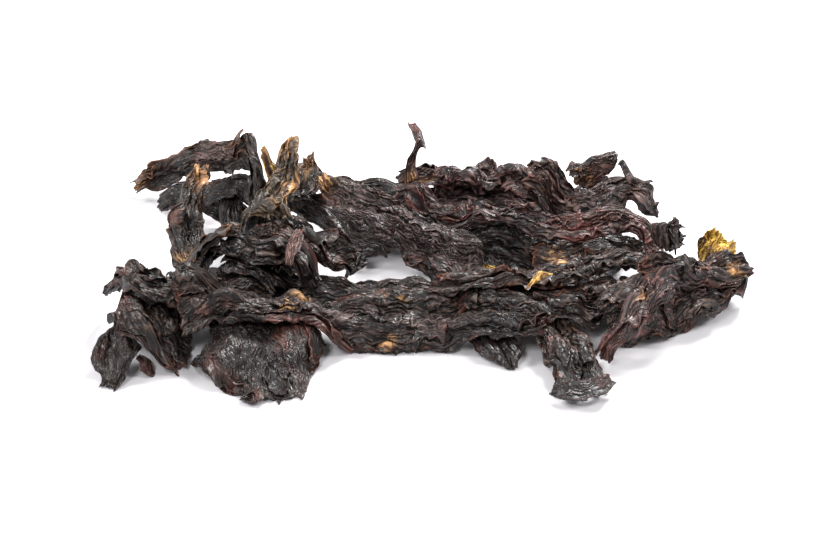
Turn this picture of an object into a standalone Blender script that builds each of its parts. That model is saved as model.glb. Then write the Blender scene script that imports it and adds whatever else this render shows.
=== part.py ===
"""A clump of dried laver: crumpled, gathered fronds of a thin red seaweed that dried tangled together.

Every frond is one closed, crumpled blade. It follows a few stations along its middle line, is gathered into
pleats across its width, waves along its torn margins, and is laid on what already lies beneath it.
"""
import math
from collections import namedtuple

import bmesh
import bpy
import numpy as np
from mathutils import Vector, noise

MM = 0.001

# The dried blade. The real membrane is thinner, and this is the least that makes a sound solid.
BLADE_THICKNESS = 0.7 * MM
RESTING_GAP = 0.35 * MM

# A station along a frond's middle line is x, y, z, how wide the gathered frond is there, how far its near side
# is turned up, and how far its margins are curled up (or, below zero, down). Millimetres and degrees.
# pleats: folds across the width. gather: the steepness of their sides in degrees. crumple, ruffle and tear:
# how far the face, the margin's wave and the torn margin stray, in millimetres. cells: along and across.
Frond = namedtuple("Frond", "name colour cells pleats gather crumple ruffle tear stations")

COLOURS = {
    "black_blade": ((0.012, 0.010, 0.012), 0.38),
    "dark_blade": ((0.022, 0.017, 0.019), 0.42),
    "brown_blade": ((0.085, 0.066, 0.052), 0.5),
    "plum_blade": ((0.060, 0.036, 0.040), 0.45),
    "tan_blade": ((0.150, 0.110, 0.070), 0.5),
    "russet_blade": ((0.140, 0.055, 0.035), 0.45),
    "amber_blade": ((0.360, 0.200, 0.060), 0.4),
}

FRONDS = (
    Frond("link_right", "dark_blade", (12, 4), 1, 40, 1.2, 1.2, 1.2, (
        (62, 38, 4, 8, 0, -40),
        (60, 28, 6, 12, 0, -80),
        (61, 17, 5, 13, 0, -80),
        (57, 6, 4, 12, 0, -80),
        (52, -4, 3, 8, 0, -40),
    )),
    Frond("link_middle", "dark_blade", (12, 4), 1, 40, 1.2, 1.2, 1.2, (
        (38, 42, 4, 8, 0, -40),
        (34, 32, 6, 12, 0, -80),
        (27, 22, 6, 13, 0, -80),
        (24, 11, 4, 12, 0, -80),
        (27, 2, 3, 8, 0, -40),
    )),
    Frond("link_back", "black_blade", (10, 4), 1, 40, 1.2, 1.2, 1.2, (
        (8, 45, 3, 8, 0, -40),
        (0, 36, 6, 12, 0, -80),
        (-9, 27, 5, 12, 0, -80),
        (-17, 19, 3, 8, 0, -40),
    )),
    Frond("link_left", "black_blade", (10, 4), 1, 40, 1.2, 1.2, 1.2, (
        (-52, 5, 3, 8, 0, -40),
        (-53, -6, 4, 12, 0, -80),
        (-58, -17, 4, 13, 0, -80),
        (-64, -27, 3, 8, 0, -40),
    )),
    Frond("mid_ribbon", "black_blade", (12, 4), 1, 25, 0.8, 1.0, 1.2, (
        (-44, 47, 9, 8, -60, -20),
        (-37, 39, 10, 12, -65, -40),
        (-28, 32, 9, 14, -60, -40),
        (-21, 22, 6, 13, -50, -30),
        (-14, 16, 3, 10, -40, -20),
        (-9, 14, 2, 4, -30, -10),
    )),
    Frond("back_ribbon", "black_blade", (14, 4), 1, 25, 0.8, 1.0, 1.2, (
        (-86, 50, 4, 8, -60, 0),
        (-81, 47, 8, 10, -70, -20),
        (-75, 44, 10, 12, -70, -40),
        (-67, 42, 8, 12, -65, -40),
        (-58, 36, 5, 13, -60, -30),
        (-48, 28, 3, 12, -50, -20),
        (-39, 22, 2, 8, -40, -10),
    )),
    Frond("hook_frond", "dark_blade", (12, 6), 2, 40, 1.2, 1.2, 1.5, (
        (39, -32, 7, 11, -10, -60),
        (42, -41, 6, 15, 0, -80),
        (45, -49, 5, 17, 0, -70),
        (47, -55, 2.5, 18, 0, -30),
        (49, -61, 0.5, 14, 0, 0),
    )),
    Frond("glossy_frond", "black_blade", (8, 5), 2, 40, 0.8, 0.8, 1.0, (
        (21, -28, 6, 12, 0, -60),
        (23, -37, 5, 16, 0, -90),
        (26, -42, 2.5, 12, 0, -60),
        (28, -47, 0.5, 3, 0, -20),
    )),
    Frond("pleated_foot", "dark_blade", (7, 6), 2, 60, 1.2, 1.5, 1.5, (
        (81, -15, 7, 9, 0, -60),
        (79, -20, 5, 12, 0, -80),
        (76, -25, 2, 8, 0, -30),
    )),
    Frond("ragged_foot", "dark_blade", (7, 5), 2, 50, 1.2, 1.5, 1.5, (
        (63, -23, 7, 8, 0, -60),
        (65, -29, 5, 12, 0, -80),
        (67, -31, 0.8, 8, 0, -10),
    )),
    Frond("back_strand", "black_blade", (16, 6), 2, 55, 1.4, 1.5, 1.5, (
        (-51, -14, 6, 9, -20, -60),
        (-36, -13, 7, 12, -20, -90),
        (-21, -14, 7, 12, -20, -90),
        (-5, -15, 8, 12, -20, -90),
        (10, -17, 7, 13, -20, -90),
        (25, -20, 7, 12, -20, -60),
    )),
    Frond("low_left_bed", "black_blade", (9, 4), 1, 40, 1.2, 1.2, 1.2, (
        (-67, 5, 3, 7, -10, -20),
        (-59, -3, 3.5, 12, -10, -50),
        (-50, -9, 3.5, 13, -10, -50),
        (-42, -10, 3.5, 12, -10, -50),
        (-35, -12, 3, 6, 0, -20),
    )),
    Frond("right_body", "dark_blade", (16, 7), 3, 55, 1.5, 1.5, 1.5, (
        (18, -26, 5, 12, -20, -60),
        (29, -26, 7, 18, -20, -90),
        (42, -25, 9, 20, -20, -90),
        (56, -20, 9, 19, -20, -90),
        (68, -15, 9, 15, -20, -60),
        (77, -10, 8, 9, -20, -30),
    )),
    Frond("right_lobe", "dark_blade", (14, 7), 2, 40, 1.6, 2.0, 1.5, (
        (55, -31, 4, 13, -15, -30),
        (66, -26, 5, 20, -15, -40),
        (78, -19, 6, 21, -15, -50),
        (88, -12, 7, 20, -15, -50),
        (95, -6, 7, 16, -15, -40),
        (100, -3, 8, 8, -15, -10),
    )),
    Frond("yellow_cup", "amber_blade", (9, 6), 1, 20, 1.2, 1.2, 1.6, (
        (90, -2, 6, 12, 0, 30),
        (91, -1, 10, 15, 0, 60),
        (93, 0, 14, 15, 0, 70),
        (95, 1, 18, 10, 0, 50),
    )),
    Frond("brown_scrap", "russet_blade", (4, 3), 1, 20, 0.6, 0.5, 1.0, (
        (-81, -47, 5, 4, 10, 20),
        (-79, -48, 3.5, 8, 10, 10),
        (-78, -49, 1.5, 6, 0, 10),
        (-77, -51, 0.6, 2, 0, 0),
    )),
    Frond("left_leaf", "black_blade", (9, 6), 2, 35, 1.2, 1.2, 2.0, (
        (-85, -37, 12, 5, 0, -20),
        (-86, -43, 10, 13, 0, -30),
        (-87, -47, 6.5, 16, 0, -20),
        (-88, -52, 3, 13, 0, -10),
        (-89, -57, 0.4, 6, 0, 0),
    )),
    Frond("left_drop", "black_blade", (12, 7), 3, 60, 1.6, 2.0, 2.0, (
        (-82, -19, 12, 9, 0, -60),
        (-81, -29, 10, 17, 0, -90),
        (-77, -40, 7, 22, 0, -90),
        (-73, -44, 3.5, 18, 0, -60),
        (-68, -47, 0.8, 9, 0, -20),
    )),
    Frond("left_crumple", "black_blade", (16, 7), 3, 65, 1.8, 2.0, 2.2, (
        (-93, -15, 9, 5, -10, -60),
        (-86, -23, 11, 12, -20, -90),
        (-77, -28, 11, 18, -20, -120),
        (-67, -27, 9, 18, -20, -120),
        (-55, -24, 8, 16, -20, -90),
        (-44, -23, 7, 10, -20, -60),
    )),
    Frond("left_frill", "dark_blade", (6, 4), 1, 30, 1.2, 1.2, 1.5, (
        (-72, -29, 10, 5, 0, -30),
        (-71, -25, 11.5, 8, 0, -60),
        (-69, -21, 13, 5, 0, -20),
    )),
    Frond("left_tip", "dark_blade", (6, 3), 1, 20, 0.8, 0.8, 1.0, (
        (-82, -30, 11, 6, 0, -40),
        (-84, -27, 14, 5, 20, -60),
        (-85, -25, 17, 2, 40, -30),
    )),
    Frond("left_twig", "dark_blade", (6, 2), 1, 10, 0.3, 0.2, 0.3, (
        (-71, -32, 11, 3, 0, 0),
        (-66, -28, 13, 2.4, 0, 0),
        (-64, -21, 14, 2.4, 0, 0),
        (-63, -16, 16, 2, 0, 0),
    )),
    Frond("front_lobe", "black_blade", (12, 9), 2, 25, 1.2, 1.8, 2.0, (
        (-49, -35, 9, 34, 0, -40),
        (-46, -43, 7, 40, 0, -50),
        (-44, -50, 3.5, 37, 0, -30),
        (-42, -56, 0.6, 28, 0, -10),
        (-40, -63, 0, 18, 0, 0),
    )),
    Frond("front_strand", "black_blade", (26, 7), 3, 60, 1.6, 1.8, 1.6, (
        (-70, -38, 6, 10, -20, -60),
        (-61, -34, 8, 16, -20, -100),
        (-46, -32, 9, 17, -20, -120),
        (-29, -32, 8, 19, -20, -120),
        (-11, -31, 8, 20, -20, -120),
        (7, -31, 8, 19, -20, -120),
        (25, -34, 7, 17, -20, -100),
        (38, -40, 5, 10, -20, -60),
    )),
    Frond("swirl_frond", "black_blade", (12, 6), 2, 55, 1.2, 1.2, 1.2, (
        (-43, 15, 11, 8, 0, -60),
        (-48, 2, 11, 13, 0, -100),
        (-52, -9, 8, 14, 0, -100),
        (-48, -16, 4, 11, 0, -60),
        (-42, -21, 3, 7, 0, -20),
    )),
    Frond("side_lobe", "black_blade", (8, 5), 2, 50, 1.2, 1.2, 1.2, (
        (-36, 4, 11, 7, 0, -40),
        (-39, -1, 8, 12, 0, -90),
        (-41, -10, 5, 13, 0, -90),
        (-40, -19, 3, 8, 0, -30),
    )),
    Frond("round_lobe", "black_blade", (12, 7), 2, 35, 1.5, 1.4, 1.4, (
        (-40, -4, 8, 9, -30, -60),
        (-34, -3, 12, 16, -40, -110),
        (-28, -1, 14, 20, -40, -120),
        (-22, 3, 13, 18, -40, -100),
        (-17, 7, 9, 9, -30, -60),
    )),
    Frond("mid_left_frond", "black_blade", (14, 6), 3, 60, 1.5, 1.5, 1.5, (
        (-68, 1, 4, 7, -20, -60),
        (-61, -1, 8, 13, -20, -100),
        (-52, -8, 10, 16, -20, -120),
        (-44, -14, 10, 16, -20, -120),
        (-36, -15, 7, 12, -20, -90),
        (-31, -18, 5, 7, -20, -40),
    )),
    Frond("left_column", "brown_blade", (16, 6), 2, 55, 1.4, 1.4, 1.5, (
        (-69, 33, 27, 5, 0, 60),
        (-70, 28, 24, 8, 10, -60),
        (-72, 22, 20, 10, 20, -100),
        (-73, 15, 16, 11, 20, -120),
        (-72, 10, 10, 14, 10, -120),
        (-67, 2, 6, 15, 0, -100),
        (-60, -5, 5, 12, 0, -60),
        (-54, -6, 5, 7, 0, -20),
    )),
    Frond("tan_bed", "black_blade", (7, 4), 1, 40, 1.2, 1.2, 1.2, (
        (-45, 36, 4, 6, 0, -20),
        (-41, 30, 5, 10, -20, -50),
        (-37, 26, 5, 10, -20, -50),
        (-33, 24, 4, 6, 0, -20),
    )),
    Frond("low_back_mass", "dark_blade", (14, 6), 2, 55, 1.5, 1.5, 1.5, (
        (-28, 48, 8, 9, -20, -60),
        (-19, 45, 11, 14, -25, -120),
        (-9, 40, 11, 15, -25, -120),
        (1, 35, 11, 16, -25, -120),
        (12, 31, 11, 14, -25, -100),
        (23, 31, 9, 9, -20, -60),
    )),
    Frond("apron", "dark_blade", (14, 5), 2, 45, 1.2, 1.4, 1.4, (
        (10, 18, 6, 9, -60, -40),
        (22, 12, 7, 16, -70, -60),
        (34, 10, 7, 17, -70, -60),
        (45, 13, 7, 13, -60, -40),
        (56, 17, 7, 8, -50, -20),
    )),
    Frond("amber_curl", "amber_blade", (7, 3), 1, 20, 0.5, 0.6, 0.8, (
        (20, 3, 6, 3, -20, -30),
        (23, 1, 4, 6, -30, -80),
        (27, -0, 3, 6, -30, -60),
        (31, 1, 3, 3, -20, -20),
    )),
    Frond("back_peak", "dark_blade", (8, 4), 1, 40, 0.8, 0.8, 1.0, (
        (24, 53, 19, 6, 0, -20),
        (22, 52, 16, 14, 0, -60),
        (20, 51, 12, 16, 0, -80),
        (17, 48, 9, 10, 0, -40),
    )),
    Frond("front_back_mass", "plum_blade", (13, 6), 2, 60, 1.6, 1.6, 1.5, (
        (3, 26, 11, 8, -20, -60),
        (13, 31, 13, 14, -25, -120),
        (23, 32, 13, 17, -25, -120),
        (34, 32, 11, 15, -25, -100),
        (44, 31, 9, 9, -20, -60),
    )),
    Frond("left_back_mass", "plum_blade", (12, 6), 3, 60, 1.8, 1.8, 1.6, (
        (-7, 36, 9, 9, -20, -60),
        (1, 34, 12, 15, -25, -110),
        (9, 35, 14, 16, -25, -110),
        (17, 35, 15, 15, -25, -110),
        (24, 36, 12, 12, -25, -80),
        (29, 36, 9, 7, -20, -60),
    )),
    Frond("right_back_mass", "plum_blade", (12, 7), 2, 50, 1.6, 1.6, 1.5, (
        (27, 33, 12, 9, -20, -60),
        (32, 33, 15, 15, -30, -110),
        (38, 33, 17, 17, -30, -120),
        (44, 36, 14, 14, -25, -110),
        (49, 38, 10, 8, -20, -60),
    )),
    Frond("bed_strand", "dark_blade", (14, 5), 2, 50, 1.3, 1.4, 1.4, (
        (36, 5, 3, 6, -20, -60),
        (44, 5, 5, 11, -25, -100),
        (53, 8, 6, 12, -25, -100),
        (63, 10, 7, 11, -25, -100),
        (72, 11, 7, 7, -20, -60),
    )),
    Frond("right_strand", "dark_blade", (18, 6), 2, 55, 1.4, 1.5, 1.5, (
        (4, -22, 4, 9, -20, -60),
        (16, -23, 7, 14, -20, -90),
        (28, -20, 9, 15, -20, -90),
        (41, -14, 11, 15, -25, -90),
        (54, -8, 12, 14, -25, -90),
        (66, -2, 12, 12, -20, -60),
        (74, -1, 11, 7, -20, -30),
    )),
    Frond("orange_scrap", "amber_blade", (6, 3), 1, 20, 0.5, 0.6, 1.0, (
        (40, -22, 15, 1.5, -20, -20),
        (37, -25, 14, 3.5, -30, -60),
        (35, -27, 12, 3.5, -30, -60),
        (32, -29, 11, 1.5, -20, -20),
    )),
    Frond("loop_strand", "black_blade", (12, 4), 1, 40, 1.2, 1.2, 1.2, (
        (-54, 50, 13, 5, -20, -40),
        (-58, 43, 12, 9, -10, -80),
        (-61, 36, 9, 10, 0, -80),
        (-58, 30, 6, 10, 0, -80),
        (-52, 25, 4, 8, 0, -60),
    )),
    Frond("arch_bed", "black_blade", (8, 4), 1, 40, 1.2, 1.2, 1.2, (
        (-70, 44, 9, 8, 0, -20),
        (-64, 40, 9, 11, -20, -50),
        (-58, 40, 9, 11, -20, -50),
        (-53, 37, 8, 7, -10, -20),
    )),
    Frond("back_arch", "brown_blade", (18, 5), 1, 35, 1.2, 1.2, 1.2, (
        (-96, 63, 2, 10, -30, 160),
        (-91, 65, 4, 11, -40, 60),
        (-83, 63, 10, 11, -45, -60),
        (-73, 58, 16, 12, -45, -80),
        (-62, 53, 20, 14, -45, -90),
        (-54, 42, 20, 14, -40, -90),
        (-52, 34, 15, 12, -30, -90),
        (-50, 28, 9, 8, -20, -60),
    )),
    Frond("back_spur", "brown_blade", (9, 5), 1, 35, 1.2, 1.8, 2.0, (
        (-44, 32, 6, 9, 0, -30),
        (-41, 35, 12, 13, 0, -50),
        (-38, 39, 17, 15, 0, -50),
        (-37, 44, 21, 14, 0, -30),
        (-35, 47, 24, 6, 0, 0),
    )),
    Frond("amber_spur", "amber_blade", (6, 3), 1, 30, 0.8, 0.8, 1.0, (
        (-42, 35, 14, 7, 0, -40),
        (-46, 34, 19, 9, 0, -50),
        (-49, 36, 23, 6, 0, -20),
    )),
    Frond("tan_strand", "tan_blade", (16, 6), 3, 60, 1.2, 1.4, 1.4, (
        (-40, 40, 33, 3, 0, 0),
        (-41, 35, 29, 6.5, 0, -60),
        (-43, 26, 25, 9, 0, -90),
        (-47, 16, 20, 11, 0, -100),
        (-49, 8, 13, 12, 0, -100),
        (-46, 1, 8, 11, 0, -90),
        (-41, -6, 5, 8, 0, -40),
    )),
    Frond("peak_frond", "dark_blade", (20, 7), 2, 40, 1.4, 1.8, 1.8, (
        (-30, 23, 28, 3, -20, -20),
        (-26, 17, 27, 12, -30, -100),
        (-19, 10, 26, 16, -35, -120),
        (-11, 7, 23, 15, -35, -110),
        (-4, 5, 19, 15, -35, -90),
        (5, 3, 14, 20, -35, -80),
        (13, 1, 9, 20, -35, -60),
        (19, -1, 4, 11, -30, -30),
    )),
    Frond("red_strip", "plum_blade", (22, 5), 2, 45, 1.0, 1.2, 1.4, (
        (-8, 28, 13, 7, -30, -40),
        (4, 21, 14, 10, -35, -60),
        (20, 15, 15, 12, -40, -70),
        (35, 12, 15, 12, -40, -70),
        (51, 12, 16, 11, -40, -70),
        (64, 15, 17, 10, -40, -80),
        (71, 12, 15, 10, -30, -90),
        (76, 7, 10, 8, -20, -60),
    )),
    Frond("right_back_frond", "dark_blade", (16, 6), 2, 50, 1.5, 1.6, 1.6, (
        (35, 31, 11, 9, -20, -60),
        (46, 27, 15, 14, -30, -100),
        (57, 30, 16, 16, -30, -110),
        (67, 36, 16, 15, -30, -100),
        (72, 35, 14, 13, -30, -80),
        (76, 36, 8, 9, -20, -30),
    )),
    Frond("top_blade", "dark_blade", (10, 4), 1, 30, 0.8, 0.8, 1.2, (
        (49, 30, 15, 6, -20, -30),
        (53, 33, 19, 11, -30, -60),
        (57, 34, 23, 12, -35, -60),
        (61, 37, 26, 8, -35, -40),
        (64, 39, 28, 2, -20, 0),
    )),
    Frond("curl_thread", "dark_blade", (8, 2), 1, 10, 0.3, 0.2, 0.2, (
        (66, 32, 17, 5, 0, -40),
        (70, 36, 18, 3, 0, -30),
        (73, 36, 17, 1.6, 0, 0),
        (76, 37, 18, 2, 0, 0),
    )),
    Frond("curl_tip", "plum_blade", (14, 3), 1, 20, 0.5, 0.5, 0.6, (
        (-2, 48, 34, 3, 20, 0),
        (-0, 40, 34, 4, 20, -40),
        (1, 31, 31, 3.6, 40, -40),
        (-0, 28, 27, 4, 60, -40),
        (-2, 29, 22, 4, 60, -40),
        (-2, 28, 19, 5, 60, -60),
        (-2, 27, 15, 6, 40, -40),
    )),
    Frond("ridge_frond", "dark_blade", (13, 5), 2, 50, 1.4, 1.4, 1.4, (
        (67, -21, 11, 8, -20, -60),
        (76, -17, 12, 12, -25, -100),
        (86, -15, 11, 13, -25, -100),
        (96, -11, 10, 10, -25, -60),
        (102, -7, 9, 3, -20, -20),
    )),
    Frond("tuft", "dark_blade", (7, 5), 3, 60, 1.4, 1.4, 1.6, (
        (76, -14, 11, 8, 0, -60),
        (75, -12, 16, 10, 0, -90),
        (76, -8, 21, 10, 0, -20),
    )),
    Frond("diagonal_band", "plum_blade", (18, 5), 1, 40, 0.9, 1.0, 1.2, (
        (54, -44, 2, 5, 0, -40),
        (56, -43, 7, 9, 0, -80),
        (60, -41, 11, 11, 0, -90),
        (65, -34, 14, 12, 0, -90),
        (69, -31, 17, 12, 0, -90),
        (74, -26, 18, 11, 0, -90),
        (78, -24, 14, 7, 0, -40),
    )),
    Frond("hook_flap", "dark_blade", (7, 4), 1, 25, 0.8, 0.8, 1.2, (
        (55, -58, 3, 5, 0, -20),
        (50, -63, 4, 9, 0, -60),
        (45, -64, 4, 10, 0, -60),
        (39, -61, 3, 6, 0, -20),
    )),
    Frond("red_scrap", "russet_blade", (7, 3), 1, 30, 0.8, 0.6, 0.8, (
        (-35, -11, 14, 3, 0, -20),
        (-36, -15, 11, 4.5, 0, -40),
        (-37, -20, 8, 4.5, 0, -40),
        (-38, -24, 6, 2.5, 0, -20),
    )),
)

PRESSED_HEIGHT = 0.16 * MM

STEEPEST = math.radians(62)
LINE_STEPS = 240
SECTION_STEPS = 72
CRUMPLE_SIZE = 9.0 * MM
TEAR_SIZE = 6.0 * MM
RUFFLE_LENGTH = 15.0 * MM
GATHER_DRIFT_LENGTH = 28.0 * MM
LOBE_LENGTH = 11.0 * MM
# Where a frond's half width is under this, it is too narrow to crumple fully.
SLACK_WIDTH = 5.0 * MM

# The square cells on which the height of the heap so far is kept.
CELL = 0.6 * MM
HALF_SPAN = np.array((120.0, 90.0)) * MM
SAMPLES_PER_EDGE = 12
NEIGHBOUR_CELLS = 2
BEND_CELLS = 4
LAY_PASSES = 12


def seeded(frond, number):
    """A steady number from 0 to 1 for each frond."""
    return (sum(ord(letter) * (place + 3) for place, letter in enumerate(frond.name)) * (7 * number + 5) % 97) / 97


def middle_line(frond):
    """The frond's middle line at even steps, with the side and up directions it carries along."""
    table = np.array(frond.stations, dtype=float)
    table[:, :4] *= MM
    table[:, 4:] = np.radians(table[:, 4:])
    gaps = np.linalg.norm(np.diff(table[:, :3], axis=0), axis=1)
    knots = np.concatenate(([0.0], np.cumsum(gaps)))
    slopes = np.gradient(table, knots, axis=0)
    where = np.linspace(0.0, knots[-1], LINE_STEPS + 1)
    left = np.clip(np.searchsorted(knots, where, side="right") - 1, 0, len(gaps) - 1)
    span = gaps[left][:, None]
    t = (where - knots[left])[:, None] / span
    curve = (2 * t**3 - 3 * t**2 + 1) * table[left] + (3 * t**2 - 2 * t**3) * table[left + 1]
    curve += span * ((t**3 - 2 * t**2 + t) * slopes[left] + (t**3 - t**2) * slopes[left + 1])
    run = np.linalg.norm(np.diff(curve[:, :3], axis=0), axis=1)
    travelled = np.concatenate(([0.0], np.cumsum(run)))
    even = np.linspace(0.0, travelled[-1], LINE_STEPS + 1)
    curve = np.column_stack([np.interp(even, travelled, column) for column in curve.T])
    ahead = np.gradient(curve[:, :3], axis=0)
    ahead /= np.linalg.norm(ahead, axis=1)[:, None]
    up = np.zeros_like(ahead)
    carried = np.array((0.0, 0.0, 1.0))
    for step, direction in enumerate(ahead):
        carried = carried - carried.dot(direction) * direction
        carried = carried / np.linalg.norm(carried)
        up[step] = carried
    side = np.cross(ahead, up)
    roll = curve[:, 4][:, None]
    turned_side = np.cos(roll) * side + np.sin(roll) * up
    turned_up = np.cos(roll) * up - np.sin(roll) * side
    return travelled[-1], curve, ahead, turned_side, turned_up


def blade_points(frond, rows, columns):
    """The middle surface of the frond's blade as a grid of points, rows along it and columns across it."""
    length, curve, ahead, side, up = middle_line(frond)
    shares = np.linspace(0.0, 1.0, LINE_STEPS + 1)
    across = np.linspace(-1.0, 1.0, SECTION_STEPS + 1)
    steepness = math.radians(frond.gather)
    points = np.zeros((rows + 1, columns + 1, 3))
    for row in range(rows + 1):
        share = row / rows
        here = [np.interp(share, shares, column) for column in curve.T]
        ahead_here = np.array([np.interp(share, shares, column) for column in ahead.T])
        side_here = np.array([np.interp(share, shares, column) for column in side.T])
        up_here = np.array([np.interp(share, shares, column) for column in up.T])
        travelled = share * length
        # The pleats wander across the frond as they run along it.
        wander = 2.2 * noise.noise(Vector((travelled / GATHER_DRIFT_LENGTH, 7.3 * seeded(frond, 1), 0.0)))
        swell = 1.0 + 0.5 * noise.noise(Vector((travelled / GATHER_DRIFT_LENGTH, 9.1 * seeded(frond, 2), 4.0)))
        pleat = steepness * swell * np.sin(math.pi * frond.pleats * across + wander + math.tau * seeded(frond, 3))
        lobes = 1 + 0.25 * noise.noise(Vector((travelled / LOBE_LENGTH, 5.7 * seeded(frond, 7), 6.0)))
        half_width = here[3] / 2 * lobes / np.mean(np.cos(pleat))
        slack = MM * min(1.0, half_width / SLACK_WIDTH)
        slope = STEEPEST * np.tanh((here[5] * across / 2 + pleat) / STEEPEST)
        sideways = np.concatenate(([0.0], np.cumsum((np.cos(slope[1:]) + np.cos(slope[:-1])) / 2)))
        upward = np.concatenate(([0.0], np.cumsum((np.sin(slope[1:]) + np.sin(slope[:-1])) / 2)))
        sideways = (sideways - sideways[SECTION_STEPS // 2]) * 2 / SECTION_STEPS * half_width
        upward = (upward - upward[SECTION_STEPS // 2]) * 2 / SECTION_STEPS * half_width
        for column in range(columns + 1):
            s = 2 * column / columns - 1
            edge = math.copysign(1.0, s) * 11.0 * seeded(frond, 4)
            torn = noise.noise(Vector((travelled / TEAR_SIZE, edge, 2.0)))
            reach = s * (1 - s * s * frond.tear * slack / half_width * (0.5 - torn))
            spot = Vector((travelled / CRUMPLE_SIZE, reach * half_width / CRUMPLE_SIZE, 31.0 * seeded(frond, 5)))
            wave = math.sin(math.tau * (travelled / RUFFLE_LENGTH + seeded(frond, 6)) + 1.3 * math.copysign(1.0, s))
            creases = 2.4 * noise.noise(spot) + 0.9 * noise.noise(2.1 * spot)
            push = frond.crumple * creases + frond.ruffle * abs(s)**3 * wave
            tip = (2 * share - 1)**5 * frond.tear * 1.6 * noise.noise(Vector((4.0 * s, 3.0, edge)))
            points[row, column] = (
                np.array(here[:3])
                + np.interp(reach, across, sideways) * side_here
                + (np.interp(reach, across, upward) + push * slack) * up_here
                + tip * slack * ahead_here
            )
    return points


def blade_mesh(points):
    """A grid moved to the points and split into triangles."""
    rows, columns = points.shape[0] - 1, points.shape[1] - 1
    blade = bmesh.new()
    bmesh.ops.create_grid(blade, x_segments=columns, y_segments=rows, size=1.0)
    for vertex in blade.verts:
        column = round((vertex.co.x + 1) / 2 * columns)
        row = round((vertex.co.y + 1) / 2 * rows)
        vertex.co = points[row, column]
    bmesh.ops.triangulate(blade, faces=blade.faces[:], quad_method="SHORT_EDGE")
    return blade


def disk(cells):
    reach = range(-cells, cells + 1)
    return [(i, j) for i in reach for j in reach if i * i + j * j <= (cells + 0.3)**2]


def shifted(field, offset, cells, filler):
    padded = np.pad(field, cells, constant_values=filler)
    i, j = cells + offset[0], cells + offset[1]
    return padded[i:i + field.shape[0], j:j + field.shape[1]]


def greatest_near(field, cells, filler):
    result = field
    for offset in disk(cells):
        result = np.maximum(result, shifted(field, offset, cells, filler))
    return result


def smoothly_over(field):
    """A smooth field that is nowhere below the one given."""
    peaks = greatest_near(field, BEND_CELLS + 1, 0.0)
    offsets = disk(BEND_CELLS)
    return sum(shifted(peaks, offset, BEND_CELLS, 0.0) for offset in offsets) / len(offsets)


def cell_of(points):
    return np.floor((points[:, :2] + HALF_SPAN) / CELL).astype(int)


def sampled(vertices, triangles):
    """Points spread evenly over the triangles."""
    a, b, c = (vertices[triangles[:, corner]] for corner in range(3))
    steps = range(SAMPLES_PER_EDGE + 1)
    weights = [(i / SAMPLES_PER_EDGE, j / SAMPLES_PER_EDGE) for i in steps for j in steps if i + j <= SAMPLES_PER_EDGE]
    return np.concatenate([a + i * (b - a) + j * (c - a) for i, j in weights])


def lay(blade, heap):
    """Lifts the blade clear of the floor and of the heap beneath it, then adds it to the heap."""
    vertices = np.array([vertex.co for vertex in blade.verts])
    triangles = np.array([[vertex.index for vertex in face.verts] for face in blade.faces])
    beneath = greatest_near(heap, NEIGHBOUR_CELLS, -1.0) + BLADE_THICKNESS + RESTING_GAP
    for _ in range(LAY_PASSES):
        # What would still sink into the floor is pressed flat on it.
        vertices[:, 2] = np.maximum(vertices[:, 2], BLADE_THICKNESS / 2)
        points = sampled(vertices, triangles)
        cells = cell_of(points)
        low = np.full_like(heap, 1.0)
        np.minimum.at(low, (cells[:, 0], cells[:, 1]), points[:, 2])
        short = np.maximum(beneath - low, 0.0)
        if short.max() < 0.01 * MM:
            break
        lift = smoothly_over(short)
        place = (vertices[:, :2] + HALF_SPAN) / CELL - 0.5
        corner = np.floor(place).astype(int)
        part = place - corner
        i, j = corner[:, 0], corner[:, 1]
        across = (lift[i, j] * (1 - part[:, 0]) + lift[i + 1, j] * part[:, 0]) * (1 - part[:, 1])
        beyond = (lift[i, j + 1] * (1 - part[:, 0]) + lift[i + 1, j + 1] * part[:, 0]) * part[:, 1]
        vertices[:, 2] += across + beyond
    points = sampled(vertices, triangles)
    cells = cell_of(points)
    np.maximum.at(heap, (cells[:, 0], cells[:, 1]), points[:, 2])
    for vertex, position in zip(blade.verts, vertices):
        vertex.co = position


def pressed_flat(mesh):
    """The spots that all but touch the floor rest on it."""
    for vertex in mesh.vertices:
        if vertex.co.z < PRESSED_HEIGHT:
            vertex.co.z = 0.0


def solid_blade(blade, name, material):
    """The thin closed solid around the blade's middle surface."""
    surface = bpy.data.meshes.new(name + "_surface")
    blade.to_mesh(surface)
    blade.free()
    draft = bpy.data.objects.new(name + "_draft", surface)
    bpy.context.scene.collection.objects.link(draft)
    shell = draft.modifiers.new("blade", "SOLIDIFY")
    shell.thickness = BLADE_THICKNESS
    shell.offset = 0.0
    bpy.context.view_layer.update()
    mesh = bpy.data.meshes.new_from_object(draft.evaluated_get(bpy.context.evaluated_depsgraph_get()))
    mesh.name = name
    bpy.data.objects.remove(draft)
    pressed_flat(mesh)
    mesh.materials.clear()
    mesh.materials.append(material)
    return bpy.data.objects.new(name, mesh)


def colour_material(name, colour, roughness):
    material = bpy.data.materials.new(name)
    material.use_nodes = True
    shader = material.node_tree.nodes["Principled BSDF"]
    shader.inputs["Base Color"].default_value = (*colour, 1.0)
    shader.inputs["Roughness"].default_value = roughness
    return material


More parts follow.
